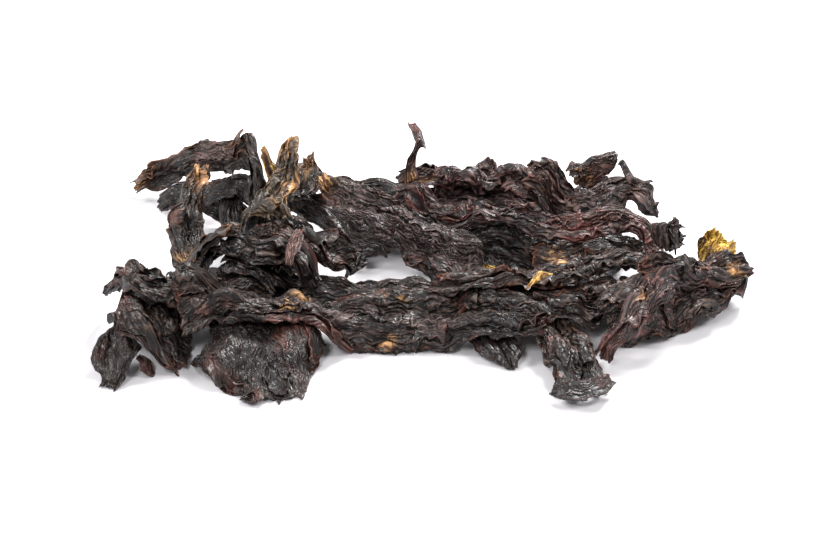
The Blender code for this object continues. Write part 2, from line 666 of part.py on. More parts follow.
def main():
    for leftover in list(bpy.data.objects):
        bpy.data.objects.remove(leftover)
    collection = bpy.data.collections.new("laver")
    bpy.context.scene.collection.children.link(collection)
    materials = {name: colour_material(name, *look) for name, look in COLOURS.items()}
    heap = np.full(np.round(2 * HALF_SPAN / CELL).astype(int), -1.0)
    for frond in FRONDS:
        blade = blade_mesh(blade_points(frond, *frond.cells))
        lay(blade, heap)
        collection.objects.link(solid_blade(blade, frond.name, materials[frond.colour]))
    corners = np.array([vertex.co for piece in collection.objects for vertex in piece.data.vertices])
    middle = (corners.min(axis=0) + corners.max(axis=0)) / 2
    for piece in collection.objects:
        for vertex in piece.data.vertices:
            vertex.co.x -= middle[0]
            vertex.co.y -= middle[1]


main()
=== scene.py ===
"""Dresses the clump of dried laver: each plain frond of the frame gets a finely crumpled, torn blade.

A frond is first made as coarsely as the frame's own solid and laid on the heap in the same order, which gives
how high each part of it lies. The fine blade takes the same form and the same lift, and then gets its small
folds, creases and frayed margins. The wide fronds also get the narrow layers that have dried onto them.
"""
import math
from collections import namedtuple

import bmesh
import bpy
import numpy as np
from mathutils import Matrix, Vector, noise


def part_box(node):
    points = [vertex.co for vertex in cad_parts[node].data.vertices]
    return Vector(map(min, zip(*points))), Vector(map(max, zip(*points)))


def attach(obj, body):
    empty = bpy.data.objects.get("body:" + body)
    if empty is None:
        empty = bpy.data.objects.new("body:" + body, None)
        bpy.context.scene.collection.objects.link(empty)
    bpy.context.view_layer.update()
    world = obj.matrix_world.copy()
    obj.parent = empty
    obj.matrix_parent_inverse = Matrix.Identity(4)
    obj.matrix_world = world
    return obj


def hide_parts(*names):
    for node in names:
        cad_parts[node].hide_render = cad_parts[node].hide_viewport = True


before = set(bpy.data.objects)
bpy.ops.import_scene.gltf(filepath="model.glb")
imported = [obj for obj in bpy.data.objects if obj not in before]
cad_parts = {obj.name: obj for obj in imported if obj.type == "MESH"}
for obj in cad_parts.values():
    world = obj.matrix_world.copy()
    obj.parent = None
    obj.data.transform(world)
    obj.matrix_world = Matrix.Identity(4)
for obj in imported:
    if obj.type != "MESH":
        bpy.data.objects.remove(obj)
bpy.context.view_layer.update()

MM = 0.001

# The solids' blade, and the thinner one that is shown.
BLADE_THICKNESS = 0.7 * MM
RESTING_GAP = 0.35 * MM
THIN_BLADE = 0.3 * MM
THIN_GAP = 0.1 * MM

# A station along a frond's middle line is x, y, z, the gathered frond's width, how far its near side is
# turned up, and how far its margins are curled up (or, below zero, down). Millimetres and degrees.
# pleats: folds across the width. gather: the steepness of their sides in degrees. crumple, ruffle and tear:
# how far the face, the margin's wave and the torn margin stray, in millimetres. cells: along and across.
Frond = namedtuple("Frond", "name colour cells pleats gather crumple ruffle tear stations")

FRONDS = (
    Frond("link_right", "dark_blade", (12, 4), 1, 40, 1.2, 1.2, 1.2, (
        (62, 38, 4, 8, 0, -40), (60, 28, 6, 12, 0, -80), (61, 17, 5, 13, 0, -80), (57, 6, 4, 12, 0, -80),
        (52, -4, 3, 8, 0, -40))),
    Frond("link_middle", "dark_blade", (12, 4), 1, 40, 1.2, 1.2, 1.2, (
        (38, 42, 4, 8, 0, -40), (34, 32, 6, 12, 0, -80), (27, 22, 6, 13, 0, -80), (24, 11, 4, 12, 0, -80),
        (27, 2, 3, 8, 0, -40))),
    Frond("link_back", "black_blade", (10, 4), 1, 40, 1.2, 1.2, 1.2, (
        (8, 45, 3, 8, 0, -40), (0, 36, 6, 12, 0, -80), (-9, 27, 5, 12, 0, -80), (-17, 19, 3, 8, 0, -40))),
    Frond("link_left", "black_blade", (10, 4), 1, 40, 1.2, 1.2, 1.2, (
        (-52, 5, 3, 8, 0, -40), (-53, -6, 4, 12, 0, -80), (-58, -17, 4, 13, 0, -80),
        (-64, -27, 3, 8, 0, -40))),
    Frond("mid_ribbon", "black_blade", (12, 4), 1, 25, 0.8, 1.0, 1.2, (
        (-44, 47, 9, 8, -60, -20), (-37, 39, 10, 12, -65, -40), (-28, 32, 9, 14, -60, -40),
        (-21, 22, 6, 13, -50, -30), (-14, 16, 3, 10, -40, -20), (-9, 14, 2, 4, -30, -10))),
    Frond("back_ribbon", "black_blade", (14, 4), 1, 25, 0.8, 1.0, 1.2, (
        (-86, 50, 4, 8, -60, 0), (-81, 47, 8, 10, -70, -20), (-75, 44, 10, 12, -70, -40),
        (-67, 42, 8, 12, -65, -40), (-58, 36, 5, 13, -60, -30), (-48, 28, 3, 12, -50, -20),
        (-39, 22, 2, 8, -40, -10))),
    Frond("hook_frond", "dark_blade", (12, 6), 2, 40, 1.2, 1.2, 1.5, (
        (39, -32, 7, 11, -10, -60), (42, -41, 6, 15, 0, -80), (45, -49, 5, 17, 0, -70),
        (47, -55, 2.5, 18, 0, -30), (49, -61, 0.5, 14, 0, 0))),
    Frond("glossy_frond", "black_blade", (8, 5), 2, 40, 0.8, 0.8, 1.0, (
        (21, -28, 6, 12, 0, -60), (23, -37, 5, 16, 0, -90), (26, -42, 2.5, 12, 0, -60),
        (28, -47, 0.5, 3, 0, -20))),
    Frond("pleated_foot", "dark_blade", (7, 6), 2, 60, 1.2, 1.5, 1.5, (
        (81, -15, 7, 9, 0, -60), (79, -20, 5, 12, 0, -80), (76, -25, 2, 8, 0, -30))),
    Frond("ragged_foot", "dark_blade", (7, 5), 2, 50, 1.2, 1.5, 1.5, (
        (63, -23, 7, 8, 0, -60), (65, -29, 5, 12, 0, -80), (67, -31, 0.8, 8, 0, -10))),
    Frond("back_strand", "black_blade", (16, 6), 2, 55, 1.4, 1.5, 1.5, (
        (-51, -14, 6, 9, -20, -60), (-36, -13, 7, 12, -20, -90), (-21, -14, 7, 12, -20, -90),
        (-5, -15, 8, 12, -20, -90), (10, -17, 7, 13, -20, -90), (25, -20, 7, 12, -20, -60))),
    Frond("low_left_bed", "black_blade", (9, 4), 1, 40, 1.2, 1.2, 1.2, (
        (-67, 5, 3, 7, -10, -20), (-59, -3, 3.5, 12, -10, -50), (-50, -9, 3.5, 13, -10, -50),
        (-42, -10, 3.5, 12, -10, -50), (-35, -12, 3, 6, 0, -20))),
    Frond("right_body", "dark_blade", (16, 7), 3, 55, 1.5, 1.5, 1.5, (
        (18, -26, 5, 12, -20, -60), (29, -26, 7, 18, -20, -90), (42, -25, 9, 20, -20, -90),
        (56, -20, 9, 19, -20, -90), (68, -15, 9, 15, -20, -60), (77, -10, 8, 9, -20, -30))),
    Frond("right_lobe", "dark_blade", (14, 7), 2, 40, 1.6, 2.0, 1.5, (
        (55, -31, 4, 13, -15, -30), (66, -26, 5, 20, -15, -40), (78, -19, 6, 21, -15, -50),
        (88, -12, 7, 20, -15, -50), (95, -6, 7, 16, -15, -40), (100, -3, 8, 8, -15, -10))),
    Frond("yellow_cup", "amber_blade", (9, 6), 1, 20, 1.2, 1.2, 1.6, (
        (90, -2, 6, 12, 0, 30), (91, -1, 10, 15, 0, 60), (93, 0, 14, 15, 0, 70), (95, 1, 18, 10, 0, 50))),
    Frond("brown_scrap", "russet_blade", (4, 3), 1, 20, 0.6, 0.5, 1.0, (
        (-81, -47, 5, 4, 10, 20), (-79, -48, 3.5, 8, 10, 10), (-78, -49, 1.5, 6, 0, 10),
        (-77, -51, 0.6, 2, 0, 0))),
    Frond("left_leaf", "black_blade", (9, 6), 2, 35, 1.2, 1.2, 2.0, (
        (-85, -37, 12, 5, 0, -20), (-86, -43, 10, 13, 0, -30), (-87, -47, 6.5, 16, 0, -20),
        (-88, -52, 3, 13, 0, -10), (-89, -57, 0.4, 6, 0, 0))),
    Frond("left_drop", "black_blade", (12, 7), 3, 60, 1.6, 2.0, 2.0, (
        (-82, -19, 12, 9, 0, -60), (-81, -29, 10, 17, 0, -90), (-77, -40, 7, 22, 0, -90),
        (-73, -44, 3.5, 18, 0, -60), (-68, -47, 0.8, 9, 0, -20))),
    Frond("left_crumple", "black_blade", (16, 7), 3, 65, 1.8, 2.0, 2.2, (
        (-93, -15, 9, 5, -10, -60), (-86, -23, 11, 12, -20, -90), (-77, -28, 11, 18, -20, -120),
        (-67, -27, 9, 18, -20, -120), (-55, -24, 8, 16, -20, -90), (-44, -23, 7, 10, -20, -60))),
    Frond("left_frill", "dark_blade", (6, 4), 1, 30, 1.2, 1.2, 1.5, (
        (-72, -29, 10, 5, 0, -30), (-71, -25, 11.5, 8, 0, -60), (-69, -21, 13, 5, 0, -20))),
    Frond("left_tip", "dark_blade", (6, 3), 1, 20, 0.8, 0.8, 1.0, (
        (-82, -30, 11, 6, 0, -40), (-84, -27, 14, 5, 20, -60), (-85, -25, 17, 2, 40, -30))),
    Frond("left_twig", "dark_blade", (6, 2), 1, 10, 0.3, 0.2, 0.3, (
        (-71, -32, 11, 3, 0, 0), (-66, -28, 13, 2.4, 0, 0), (-64, -21, 14, 2.4, 0, 0),
        (-63, -16, 16, 2, 0, 0))),
    Frond("front_lobe", "black_blade", (12, 9), 2, 25, 1.2, 1.8, 2.0, (
        (-49, -35, 9, 34, 0, -40), (-46, -43, 7, 40, 0, -50), (-44, -50, 3.5, 37, 0, -30),
        (-42, -56, 0.6, 28, 0, -10), (-40, -63, 0, 18, 0, 0))),
    Frond("front_strand", "black_blade", (26, 7), 3, 60, 1.6, 1.8, 1.6, (
        (-70, -38, 6, 10, -20, -60), (-61, -34, 8, 16, -20, -100), (-46, -32, 9, 17, -20, -120),
        (-29, -32, 8, 19, -20, -120), (-11, -31, 8, 20, -20, -120), (7, -31, 8, 19, -20, -120),
        (25, -34, 7, 17, -20, -100), (38, -40, 5, 10, -20, -60))),
    Frond("swirl_frond", "black_blade", (12, 6), 2, 55, 1.2, 1.2, 1.2, (
        (-43, 15, 11, 8, 0, -60), (-48, 2, 11, 13, 0, -100), (-52, -9, 8, 14, 0, -100),
        (-48, -16, 4, 11, 0, -60), (-42, -21, 3, 7, 0, -20))),
    Frond("side_lobe", "black_blade", (8, 5), 2, 50, 1.2, 1.2, 1.2, (
        (-36, 4, 11, 7, 0, -40), (-39, -1, 8, 12, 0, -90), (-41, -10, 5, 13, 0, -90),
        (-40, -19, 3, 8, 0, -30))),
    Frond("round_lobe", "black_blade", (12, 7), 2, 35, 1.5, 1.4, 1.4, (
        (-40, -4, 8, 9, -30, -60), (-34, -3, 12, 16, -40, -110), (-28, -1, 14, 20, -40, -120),
        (-22, 3, 13, 18, -40, -100), (-17, 7, 9, 9, -30, -60))),
    Frond("mid_left_frond", "black_blade", (14, 6), 3, 60, 1.5, 1.5, 1.5, (
        (-68, 1, 4, 7, -20, -60), (-61, -1, 8, 13, -20, -100), (-52, -8, 10, 16, -20, -120),
        (-44, -14, 10, 16, -20, -120), (-36, -15, 7, 12, -20, -90), (-31, -18, 5, 7, -20, -40))),
    Frond("left_column", "brown_blade", (16, 6), 2, 55, 1.4, 1.4, 1.5, (
        (-69, 33, 27, 5, 0, 60), (-70, 28, 24, 8, 10, -60), (-72, 22, 20, 10, 20, -100),
        (-73, 15, 16, 11, 20, -120), (-72, 10, 10, 14, 10, -120), (-67, 2, 6, 15, 0, -100),
        (-60, -5, 5, 12, 0, -60), (-54, -6, 5, 7, 0, -20))),
    Frond("tan_bed", "black_blade", (7, 4), 1, 40, 1.2, 1.2, 1.2, (
        (-45, 36, 4, 6, 0, -20), (-41, 30, 5, 10, -20, -50), (-37, 26, 5, 10, -20, -50),
        (-33, 24, 4, 6, 0, -20))),
    Frond("low_back_mass", "dark_blade", (14, 6), 2, 55, 1.5, 1.5, 1.5, (
        (-28, 48, 8, 9, -20, -60), (-19, 45, 11, 14, -25, -120), (-9, 40, 11, 15, -25, -120),
        (1, 35, 11, 16, -25, -120), (12, 31, 11, 14, -25, -100), (23, 31, 9, 9, -20, -60))),
    Frond("apron", "dark_blade", (14, 5), 2, 45, 1.2, 1.4, 1.4, (
        (10, 18, 6, 9, -60, -40), (22, 12, 7, 16, -70, -60), (34, 10, 7, 17, -70, -60),
        (45, 13, 7, 13, -60, -40), (56, 17, 7, 8, -50, -20))),
    Frond("amber_curl", "amber_blade", (7, 3), 1, 20, 0.5, 0.6, 0.8, (
        (20, 3, 6, 3, -20, -30), (23, 1, 4, 6, -30, -80), (27, -0, 3, 6, -30, -60), (31, 1, 3, 3, -20, -20))),
    Frond("back_peak", "dark_blade", (8, 4), 1, 40, 0.8, 0.8, 1.0, (
        (24, 53, 19, 6, 0, -20), (22, 52, 16, 14, 0, -60), (20, 51, 12, 16, 0, -80),
        (17, 48, 9, 10, 0, -40))),
    Frond("front_back_mass", "plum_blade", (13, 6), 2, 60, 1.6, 1.6, 1.5, (
        (3, 26, 11, 8, -20, -60), (13, 31, 13, 14, -25, -120), (23, 32, 13, 17, -25, -120),
        (34, 32, 11, 15, -25, -100), (44, 31, 9, 9, -20, -60))),
    Frond("left_back_mass", "plum_blade", (12, 6), 3, 60, 1.8, 1.8, 1.6, (
        (-7, 36, 9, 9, -20, -60), (1, 34, 12, 15, -25, -110), (9, 35, 14, 16, -25, -110),
        (17, 35, 15, 15, -25, -110), (24, 36, 12, 12, -25, -80), (29, 36, 9, 7, -20, -60))),
    Frond("right_back_mass", "plum_blade", (12, 7), 2, 50, 1.6, 1.6, 1.5, (
        (27, 33, 12, 9, -20, -60), (32, 33, 15, 15, -30, -110), (38, 33, 17, 17, -30, -120),
        (44, 36, 14, 14, -25, -110), (49, 38, 10, 8, -20, -60))),
    Frond("bed_strand", "dark_blade", (14, 5), 2, 50, 1.3, 1.4, 1.4, (
        (36, 5, 3, 6, -20, -60), (44, 5, 5, 11, -25, -100), (53, 8, 6, 12, -25, -100),
        (63, 10, 7, 11, -25, -100), (72, 11, 7, 7, -20, -60))),
    Frond("right_strand", "dark_blade", (18, 6), 2, 55, 1.4, 1.5, 1.5, (
        (4, -22, 4, 9, -20, -60), (16, -23, 7, 14, -20, -90), (28, -20, 9, 15, -20, -90),
        (41, -14, 11, 15, -25, -90), (54, -8, 12, 14, -25, -90), (66, -2, 12, 12, -20, -60),
        (74, -1, 11, 7, -20, -30))),
    Frond("orange_scrap", "amber_blade", (6, 3), 1, 20, 0.5, 0.6, 1.0, (
        (40, -22, 15, 1.5, -20, -20), (37, -25, 14, 3.5, -30, -60), (35, -27, 12, 3.5, -30, -60),
        (32, -29, 11, 1.5, -20, -20))),
    Frond("loop_strand", "black_blade", (12, 4), 1, 40, 1.2, 1.2, 1.2, (
        (-54, 50, 13, 5, -20, -40), (-58, 43, 12, 9, -10, -80), (-61, 36, 9, 10, 0, -80),
        (-58, 30, 6, 10, 0, -80), (-52, 25, 4, 8, 0, -60))),
    Frond("arch_bed", "black_blade", (8, 4), 1, 40, 1.2, 1.2, 1.2, (
        (-70, 44, 9, 8, 0, -20), (-64, 40, 9, 11, -20, -50), (-58, 40, 9, 11, -20, -50),
        (-53, 37, 8, 7, -10, -20))),
    Frond("back_arch", "brown_blade", (18, 5), 1, 35, 1.2, 1.2, 1.2, (
        (-96, 63, 2, 10, -30, 160), (-91, 65, 4, 11, -40, 60), (-83, 63, 10, 11, -45, -60),
        (-73, 58, 16, 12, -45, -80), (-62, 53, 20, 14, -45, -90), (-54, 42, 20, 14, -40, -90),
        (-52, 34, 15, 12, -30, -90), (-50, 28, 9, 8, -20, -60))),
    Frond("back_spur", "brown_blade", (9, 5), 1, 35, 1.2, 1.8, 2.0, (
        (-44, 32, 6, 9, 0, -30), (-41, 35, 12, 13, 0, -50), (-38, 39, 17, 15, 0, -50),
        (-37, 44, 21, 14, 0, -30), (-35, 47, 24, 6, 0, 0))),
    Frond("amber_spur", "amber_blade", (6, 3), 1, 30, 0.8, 0.8, 1.0, (
        (-42, 35, 14, 7, 0, -40), (-46, 34, 19, 9, 0, -50), (-49, 36, 23, 6, 0, -20))),
    Frond("tan_strand", "tan_blade", (16, 6), 3, 60, 1.2, 1.4, 1.4, (
        (-40, 40, 33, 3, 0, 0), (-41, 35, 29, 6.5, 0, -60), (-43, 26, 25, 9, 0, -90),
        (-47, 16, 20, 11, 0, -100), (-49, 8, 13, 12, 0, -100), (-46, 1, 8, 11, 0, -90),
        (-41, -6, 5, 8, 0, -40))),
    Frond("peak_frond", "dark_blade", (20, 7), 2, 40, 1.4, 1.8, 1.8, (
        (-30, 23, 28, 3, -20, -20), (-26, 17, 27, 12, -30, -100), (-19, 10, 26, 16, -35, -120),
        (-11, 7, 23, 15, -35, -110), (-4, 5, 19, 15, -35, -90), (5, 3, 14, 20, -35, -80),
        (13, 1, 9, 20, -35, -60), (19, -1, 4, 11, -30, -30))),
    Frond("red_strip", "plum_blade", (22, 5), 2, 45, 1.0, 1.2, 1.4, (
        (-8, 28, 13, 7, -30, -40), (4, 21, 14, 10, -35, -60), (20, 15, 15, 12, -40, -70),
        (35, 12, 15, 12, -40, -70), (51, 12, 16, 11, -40, -70), (64, 15, 17, 10, -40, -80),
        (71, 12, 15, 10, -30, -90), (76, 7, 10, 8, -20, -60))),
    Frond("right_back_frond", "dark_blade", (16, 6), 2, 50, 1.5, 1.6, 1.6, (
        (35, 31, 11, 9, -20, -60), (46, 27, 15, 14, -30, -100), (57, 30, 16, 16, -30, -110),
        (67, 36, 16, 15, -30, -100), (72, 35, 14, 13, -30, -80), (76, 36, 8, 9, -20, -30))),
    Frond("top_blade", "dark_blade", (10, 4), 1, 30, 0.8, 0.8, 1.2, (
        (49, 30, 15, 6, -20, -30), (53, 33, 19, 11, -30, -60), (57, 34, 23, 12, -35, -60),
        (61, 37, 26, 8, -35, -40), (64, 39, 28, 2, -20, 0))),
    Frond("curl_thread", "dark_blade", (8, 2), 1, 10, 0.3, 0.2, 0.2, (
        (66, 32, 17, 5, 0, -40), (70, 36, 18, 3, 0, -30), (73, 36, 17, 1.6, 0, 0), (76, 37, 18, 2, 0, 0))),
    Frond("curl_tip", "plum_blade", (14, 3), 1, 20, 0.5, 0.5, 0.6, (
        (-2, 48, 34, 3, 20, 0), (-0, 40, 34, 4, 20, -40), (1, 31, 31, 3.6, 40, -40), (-0, 28, 27, 4, 60, -40),
        (-2, 29, 22, 4, 60, -40), (-2, 28, 19, 5, 60, -60), (-2, 27, 15, 6, 40, -40))),
    Frond("ridge_frond", "dark_blade", (13, 5), 2, 50, 1.4, 1.4, 1.4, (
        (67, -21, 11, 8, -20, -60), (76, -17, 12, 12, -25, -100), (86, -15, 11, 13, -25, -100),
        (96, -11, 10, 10, -25, -60), (102, -7, 9, 3, -20, -20))),
    Frond("tuft", "dark_blade", (7, 5), 3, 60, 1.4, 1.4, 1.6, (
        (76, -14, 11, 8, 0, -60), (75, -12, 16, 10, 0, -90), (76, -8, 21, 10, 0, -20))),
    Frond("diagonal_band", "plum_blade", (18, 5), 1, 40, 0.9, 1.0, 1.2, (
        (54, -44, 2, 5, 0, -40), (56, -43, 7, 9, 0, -80), (60, -41, 11, 11, 0, -90),
        (65, -34, 14, 12, 0, -90), (69, -31, 17, 12, 0, -90), (74, -26, 18, 11, 0, -90),
        (78, -24, 14, 7, 0, -40))),
    Frond("hook_flap", "dark_blade", (7, 4), 1, 25, 0.8, 0.8, 1.2, (
        (55, -58, 3, 5, 0, -20), (50, -63, 4, 9, 0, -60), (45, -64, 4, 10, 0, -60), (39, -61, 3, 6, 0, -20))),
    Frond("red_scrap", "russet_blade", (7, 3), 1, 30, 0.8, 0.6, 0.8, (
        (-35, -11, 14, 3, 0, -20), (-36, -15, 11, 4.5, 0, -40), (-37, -20, 8, 4.5, 0, -40),
        (-38, -24, 6, 2.5, 0, -20))),
)

# How stations become a blade, as in the solids: the steepest that a pleat's side stands, how finely the
# middle line and the section are worked out, and how long crumples, tears, ruffles, drifts and lobes are.
STEEPEST = math.radians(62)
LINE_STEPS = 240
SECTION_STEPS = 72
CRUMPLE_SIZE = 9.0 * MM
TEAR_SIZE = 6.0 * MM
RUFFLE_LENGTH = 15.0 * MM
GATHER_DRIFT_LENGTH = 28.0 * MM
LOBE_LENGTH = 11.0 * MM
# Where a frond's half width is under this, it is too narrow to crumple fully.
SLACK_WIDTH = 5.0 * MM

# The square cells on which the height of the heap so far is kept, how many of them a blade keeps clear of its
# neighbours and bends over, and how often it is lifted at most.
CELL = 0.6 * MM
HALF_SPAN = np.array((120.0, 90.0)) * MM
SAMPLES_PER_EDGE = 12
NEIGHBOUR_CELLS = 2
BEND_CELLS = 4
WINDOW_CELLS = 12
LAY_PASSES = 12
SHORT_ENOUGH = 0.01 * MM
EMPTY = -1.0

# The fine blade: the distance between its points, along and across, how much wider it is than it looks when
# gathered, and the small folds that run along it.
FINE_CELL = np.array((0.68, 0.40)) * MM
LET_OUT = 1.35
FOLD_SPACING = 2.7 * MM
FOLD_STEEPNESS = math.radians(46)

# How long the fine margin's small nicks, its deep ones and those at the blade's ends are, and how far
# inwards a margin still counts as thin.
SMALL_NICK = 1.8 * MM
DEEP_NICK = 3.6 * MM
TIP_NICK = 2.8 * MM
THIN_MARGIN = 0.8 * MM

# Low fronds that others hide nearly all over are made less finely.
HIDDEN = ("link_right", "link_middle", "link_back", "link_left", "low_back_mass", "back_strand",
          "low_left_bed", "tan_bed", "arch_bed")
HIDDEN_CELL = np.array((1.0, 0.8)) * MM

# Broad blades crease every way, and gathered strands mostly along their length: how much shorter the creases
# of a broad blade are, how far each kind's creases swirl, and how many millimetres apart they stand.
BROAD = ("front_lobe", "left_leaf", "right_lobe", "round_lobe", "yellow_cup", "brown_scrap", "hook_flap",
         "peak_frond")
BROAD_CELL = np.array((0.52, 0.5)) * MM
BROAD_SHORTENING = 1.5
BROAD_SWIRL, BROAD_SPACING = 3.4, 3.4
STRAND_SWIRL, STRAND_SPACING = 2.0, 2.6

# How smooth and glossy the smoothest fronds have dried.
SMOOTH = {
    "glossy_frond": 0.8, "front_lobe": 0.65, "mid_ribbon": 0.5, "left_leaf": 0.5, "back_arch": 0.4,
    "diagonal_band": 0.4, "hook_flap": 0.4, "left_column": 0.3, "hook_frond": 0.2, "right_body": 0.2,
    "front_strand": 0.15,
}

# The narrow layers that have dried onto wide fronds: where each starts and ends as a share of the frond's
# length, how far aside it lies as a share of the half width, and how wide it is against it.
Layer = namedtuple("Layer", "start end aside width")
TWO_LAYERS = (Layer(0.03, 0.68, -0.35, 0.5), Layer(0.32, 0.97, 0.38, 0.5))
THREE_LAYERS = (*TWO_LAYERS, Layer(0.12, 0.85, 0.05, 0.36))
ONE_LAYER = (Layer(0.08, 0.92, 0.3, 0.5),)
LAYERS = {
    "front_strand": (Layer(0.0, 0.4, -0.4, 0.5), Layer(0.04, 0.36, 0.4, 0.45), Layer(0.3, 0.72, 0.35, 0.5),
                     Layer(0.34, 0.8, -0.45, 0.45), Layer(0.62, 1.0, 0.0, 0.5), Layer(0.15, 0.6, 0.0, 0.35)),
    "front_lobe": (Layer(0.05, 0.6, -0.75, 0.22), Layer(0.35, 0.95, 0.7, 0.25), Layer(0.5, 1.0, -0.3, 0.3)),
    "peak_frond": (Layer(0.2, 0.75, -0.5, 0.4), Layer(0.5, 0.98, 0.35, 0.5)),
    **dict.fromkeys(("left_crumple", "left_drop", "right_body", "right_lobe", "mid_left_frond", "tan_strand",
                     "red_strip", "right_back_frond", "right_strand"), THREE_LAYERS),
    **dict.fromkeys(("round_lobe", "left_column", "back_arch", "left_back_mass", "right_back_mass",
                     "front_back_mass", "ridge_frond", "apron", "diagonal_band", "hook_frond"), TWO_LAYERS),
    **dict.fromkeys(("swirl_frond", "side_lobe", "back_spur", "bed_strand", "tuft", "top_blade"), ONE_LAYER),
}
LAYER_LIFT = 0.45 * MM
LAYER_CRUMPLE = 0.8
LAYER_TEAR = 1.6

